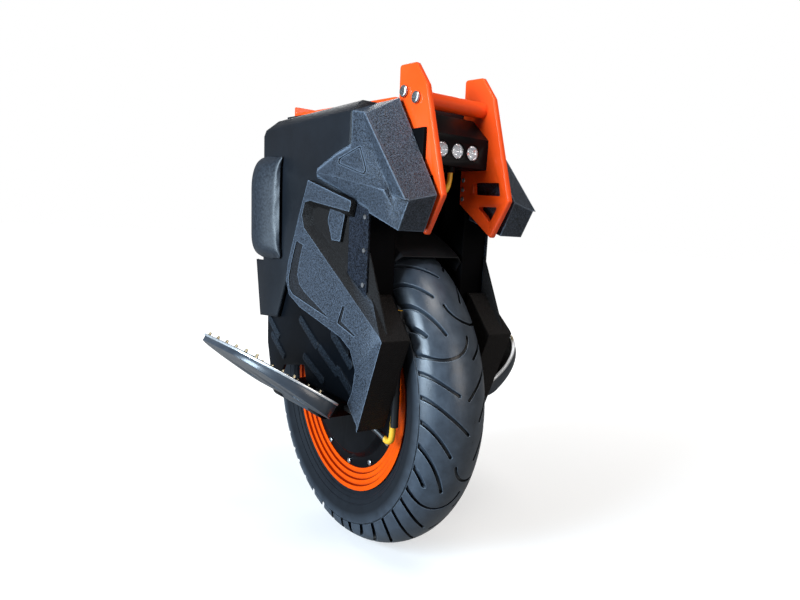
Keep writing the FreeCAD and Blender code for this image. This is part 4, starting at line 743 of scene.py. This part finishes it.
# Headlight: a black alloy bar with three lamps sunk in its face. Each has a
# faceted, silvered bowl round a small light chip, closed by a clear lens.
dress(["headlight_housing"], black_alloy, edge=0.0012)
lamp_silver = surface("lamp_silver", ((0.8, 0.81, 0.83), (0.9, 0.9, 0.92)),
                      rough=(0.05, 0.12), patch=60.0, grain=(200.0, 0.1, 0.0003), metallic=0.9)
dress(["headlight_reflectors"], lamp_silver)
along_ride = (math.radians(90), 0, 0)
lamp_places = (-0.025, 0.0, 0.025)
lamp_height = 0.6035
bowl_small = 0.0029
bowl_large = 0.0082
bowl_depth = 0.0085
bowl_belly = 0.0016
bowl_middle = -0.1869
chip_middle = -0.1832
chip_size = (0.0032, 0.0012, 0.0032)
bpy.ops.object.select_all(action="DESELECT")
bpy.ops.mesh.primitive_cone_add(vertices=8, radius1=bowl_small, radius2=bowl_large,
                                depth=bowl_depth, end_fill_type="NOTHING",
                                location=(0, bowl_middle, lamp_height), rotation=along_ride)
bowl = made()
bpy.ops.object.mode_set(mode="EDIT")
bpy.ops.mesh.select_all(action="SELECT")
bpy.ops.mesh.subdivide(number_cuts=2)
bpy.ops.mesh.flip_normals()
bpy.ops.object.mode_set(mode="OBJECT")
for vertex in bowl.data.vertices:
    reach = math.hypot(vertex.co.x, vertex.co.z - lamp_height)
    share = (reach - bowl_small) / (bowl_large - bowl_small)
    vertex.co.y += bowl_belly * math.sin(math.pi * share)
wall = bowl.modifiers.new("wall", "SOLIDIFY")
wall.thickness = 0.0004
wall.offset = -1
bpy.ops.object.modifier_apply(modifier="wall")
bpy.ops.object.select_all(action="DESELECT")
bpy.ops.mesh.primitive_cube_add(size=1.0, location=(0, chip_middle, lamp_height))
chip = made(scale=chip_size)
rounded(chip, width=0.0004, segments=2)
lamp_pattern = joined([bowl, chip], "lamp_pattern")
lamp_moves = [Matrix.Translation((x, 0, 0)) for x in lamp_places]
lamp_cups = joined(copies_at(lamp_pattern, lamp_moves), "lamp_cups")
fit(lamp_cups, lamp_silver, "chassis")
lamp_glass = surface("lamp_glass", ((0.96, 0.97, 0.98), (1.0, 1.0, 1.0)),
                     rough=(0.01, 0.03), patch=20.0, grain=(100.0, 0.01, 0.0001))
glass_inputs = lamp_glass.node_tree.nodes["Principled BSDF"].inputs
glass_inputs["Transmission Weight"].default_value = 1.0
glass_inputs["IOR"].default_value = 1.45
dress(["headlight_lenses"], lamp_glass)


# Top and rear: a plastic lid with a finger well, the orange lift plate screwed on
# it, and the rear cover with its ribbed light, button and charge socket.
def trim_ring(name, place, outer, inner, proud, material, body):
    """A turned ring that stands on a face that looks to the rear, its edges rounded."""
    bpy.ops.object.select_all(action="DESELECT")
    bpy.ops.mesh.primitive_cylinder_add(vertices=48, radius=outer, depth=proud, location=place,
                                        rotation=along_ride)
    ring = made()
    bpy.ops.object.select_all(action="DESELECT")
    bpy.ops.mesh.primitive_cylinder_add(vertices=48, radius=inner, depth=proud * 3, location=place,
                                        rotation=along_ride)
    cut(ring, bpy.context.object)
    ring.select_set(True)
    edge_width = proud * 0.35
    rounded(ring, edge_width, segments=3)
    bpy.ops.object.shade_smooth_by_angle(angle=math.radians(35))
    ring.name = name
    fit(ring, material, body)


dress(["top_cover", "rear_cover", "charge_port"], satin_plastic, edge=0.001)
dress(["top_plate"], cage_paint, edge=0.001)
soft_rubber = surface("soft_rubber", ((0.02, 0.02, 0.021), (0.03, 0.03, 0.031)),
                      rough=(0.55, 0.7), patch=20.0, grain=(900.0, 0.2, 0.0003))
dress(["charge_cap", "power_button"], soft_rubber, edge=0.0006)
red_lens = surface("red_lens", ((0.3, 0.004, 0.004), (0.42, 0.008, 0.008)),
                   rough=(0.08, 0.16), patch=25.0, grain=(260.0, 0.3, 0.0008), coat=0.4)
dress(["tail_light"], red_lens, edge=0.001)
above_plate = 1.0
plate_columns = (-0.045, 0.045)
plate_rows = (-0.1, 0.02, 0.14)
flush_head = socket_head(radius=0.0042, height=0.001)
plate_spots = []
bpy.context.view_layer.update()
for x in plate_columns:
    for y in plate_rows:
        spot, upward = node_objects["top_plate"].ray_cast((x, y, above_plate), (0, 0, -1))[1:3]
        plate_spots.append((spot, upward))
set_heads("plate_screw_heads", flush_head, plate_spots, bright_steel, "chassis", None)
rear_columns = (-0.054, 0.054)
rear_rows = (0.5645, 0.6285)
rear_spots = [(Vector((x, shell_rear, z)), (0, 1, 0)) for x in rear_columns for z in rear_rows]
set_heads("rear_screw_heads", pin_head, rear_spots, bright_steel, "chassis", None)
fitting_aside = 0.031
fitting_height = 0.5965
button_face = 0.1867
cap_face = 0.1895
trim_ring("button_ring", (-fitting_aside, button_face, fitting_height), outer=0.0112,
          inner=0.0086, proud=0.0018, material=bright_steel, body="chassis")
trim_ring("cap_ring", (fitting_aside, cap_face, fitting_height), outer=0.0088, inner=0.0072,
          proud=0.001, material=soft_rubber, body="cap")
rib_count = 15
rib_pitch = 0.0054
rib_size = (0.0026, 0.0014, 0.0112)
rib_middle = (0, 0.191, 0.6565)
bpy.ops.object.select_all(action="DESELECT")
bpy.ops.mesh.primitive_cube_add(size=1.0, location=rib_middle)
rib_pattern = made(scale=rib_size)
rounded(rib_pattern, width=0.0006, segments=2)
rib_moves = []
for step in range(rib_count):
    rib_moves.append(Matrix.Translation((rib_pitch * (step - (rib_count - 1) / 2), 0, 0)))
tail_ribs = joined(copies_at(rib_pattern, rib_moves), "tail_ribs")
bpy.ops.object.shade_smooth_by_angle(angle=math.radians(40))
fit(tail_ribs, red_lens, "chassis")

# The patterns of the heads, lamps and ribs have served and are removed.
for pattern in (screw_head, cage_head, pin_head, flush_head, lamp_pattern, rib_pattern):
    bpy.data.objects.remove(pattern)
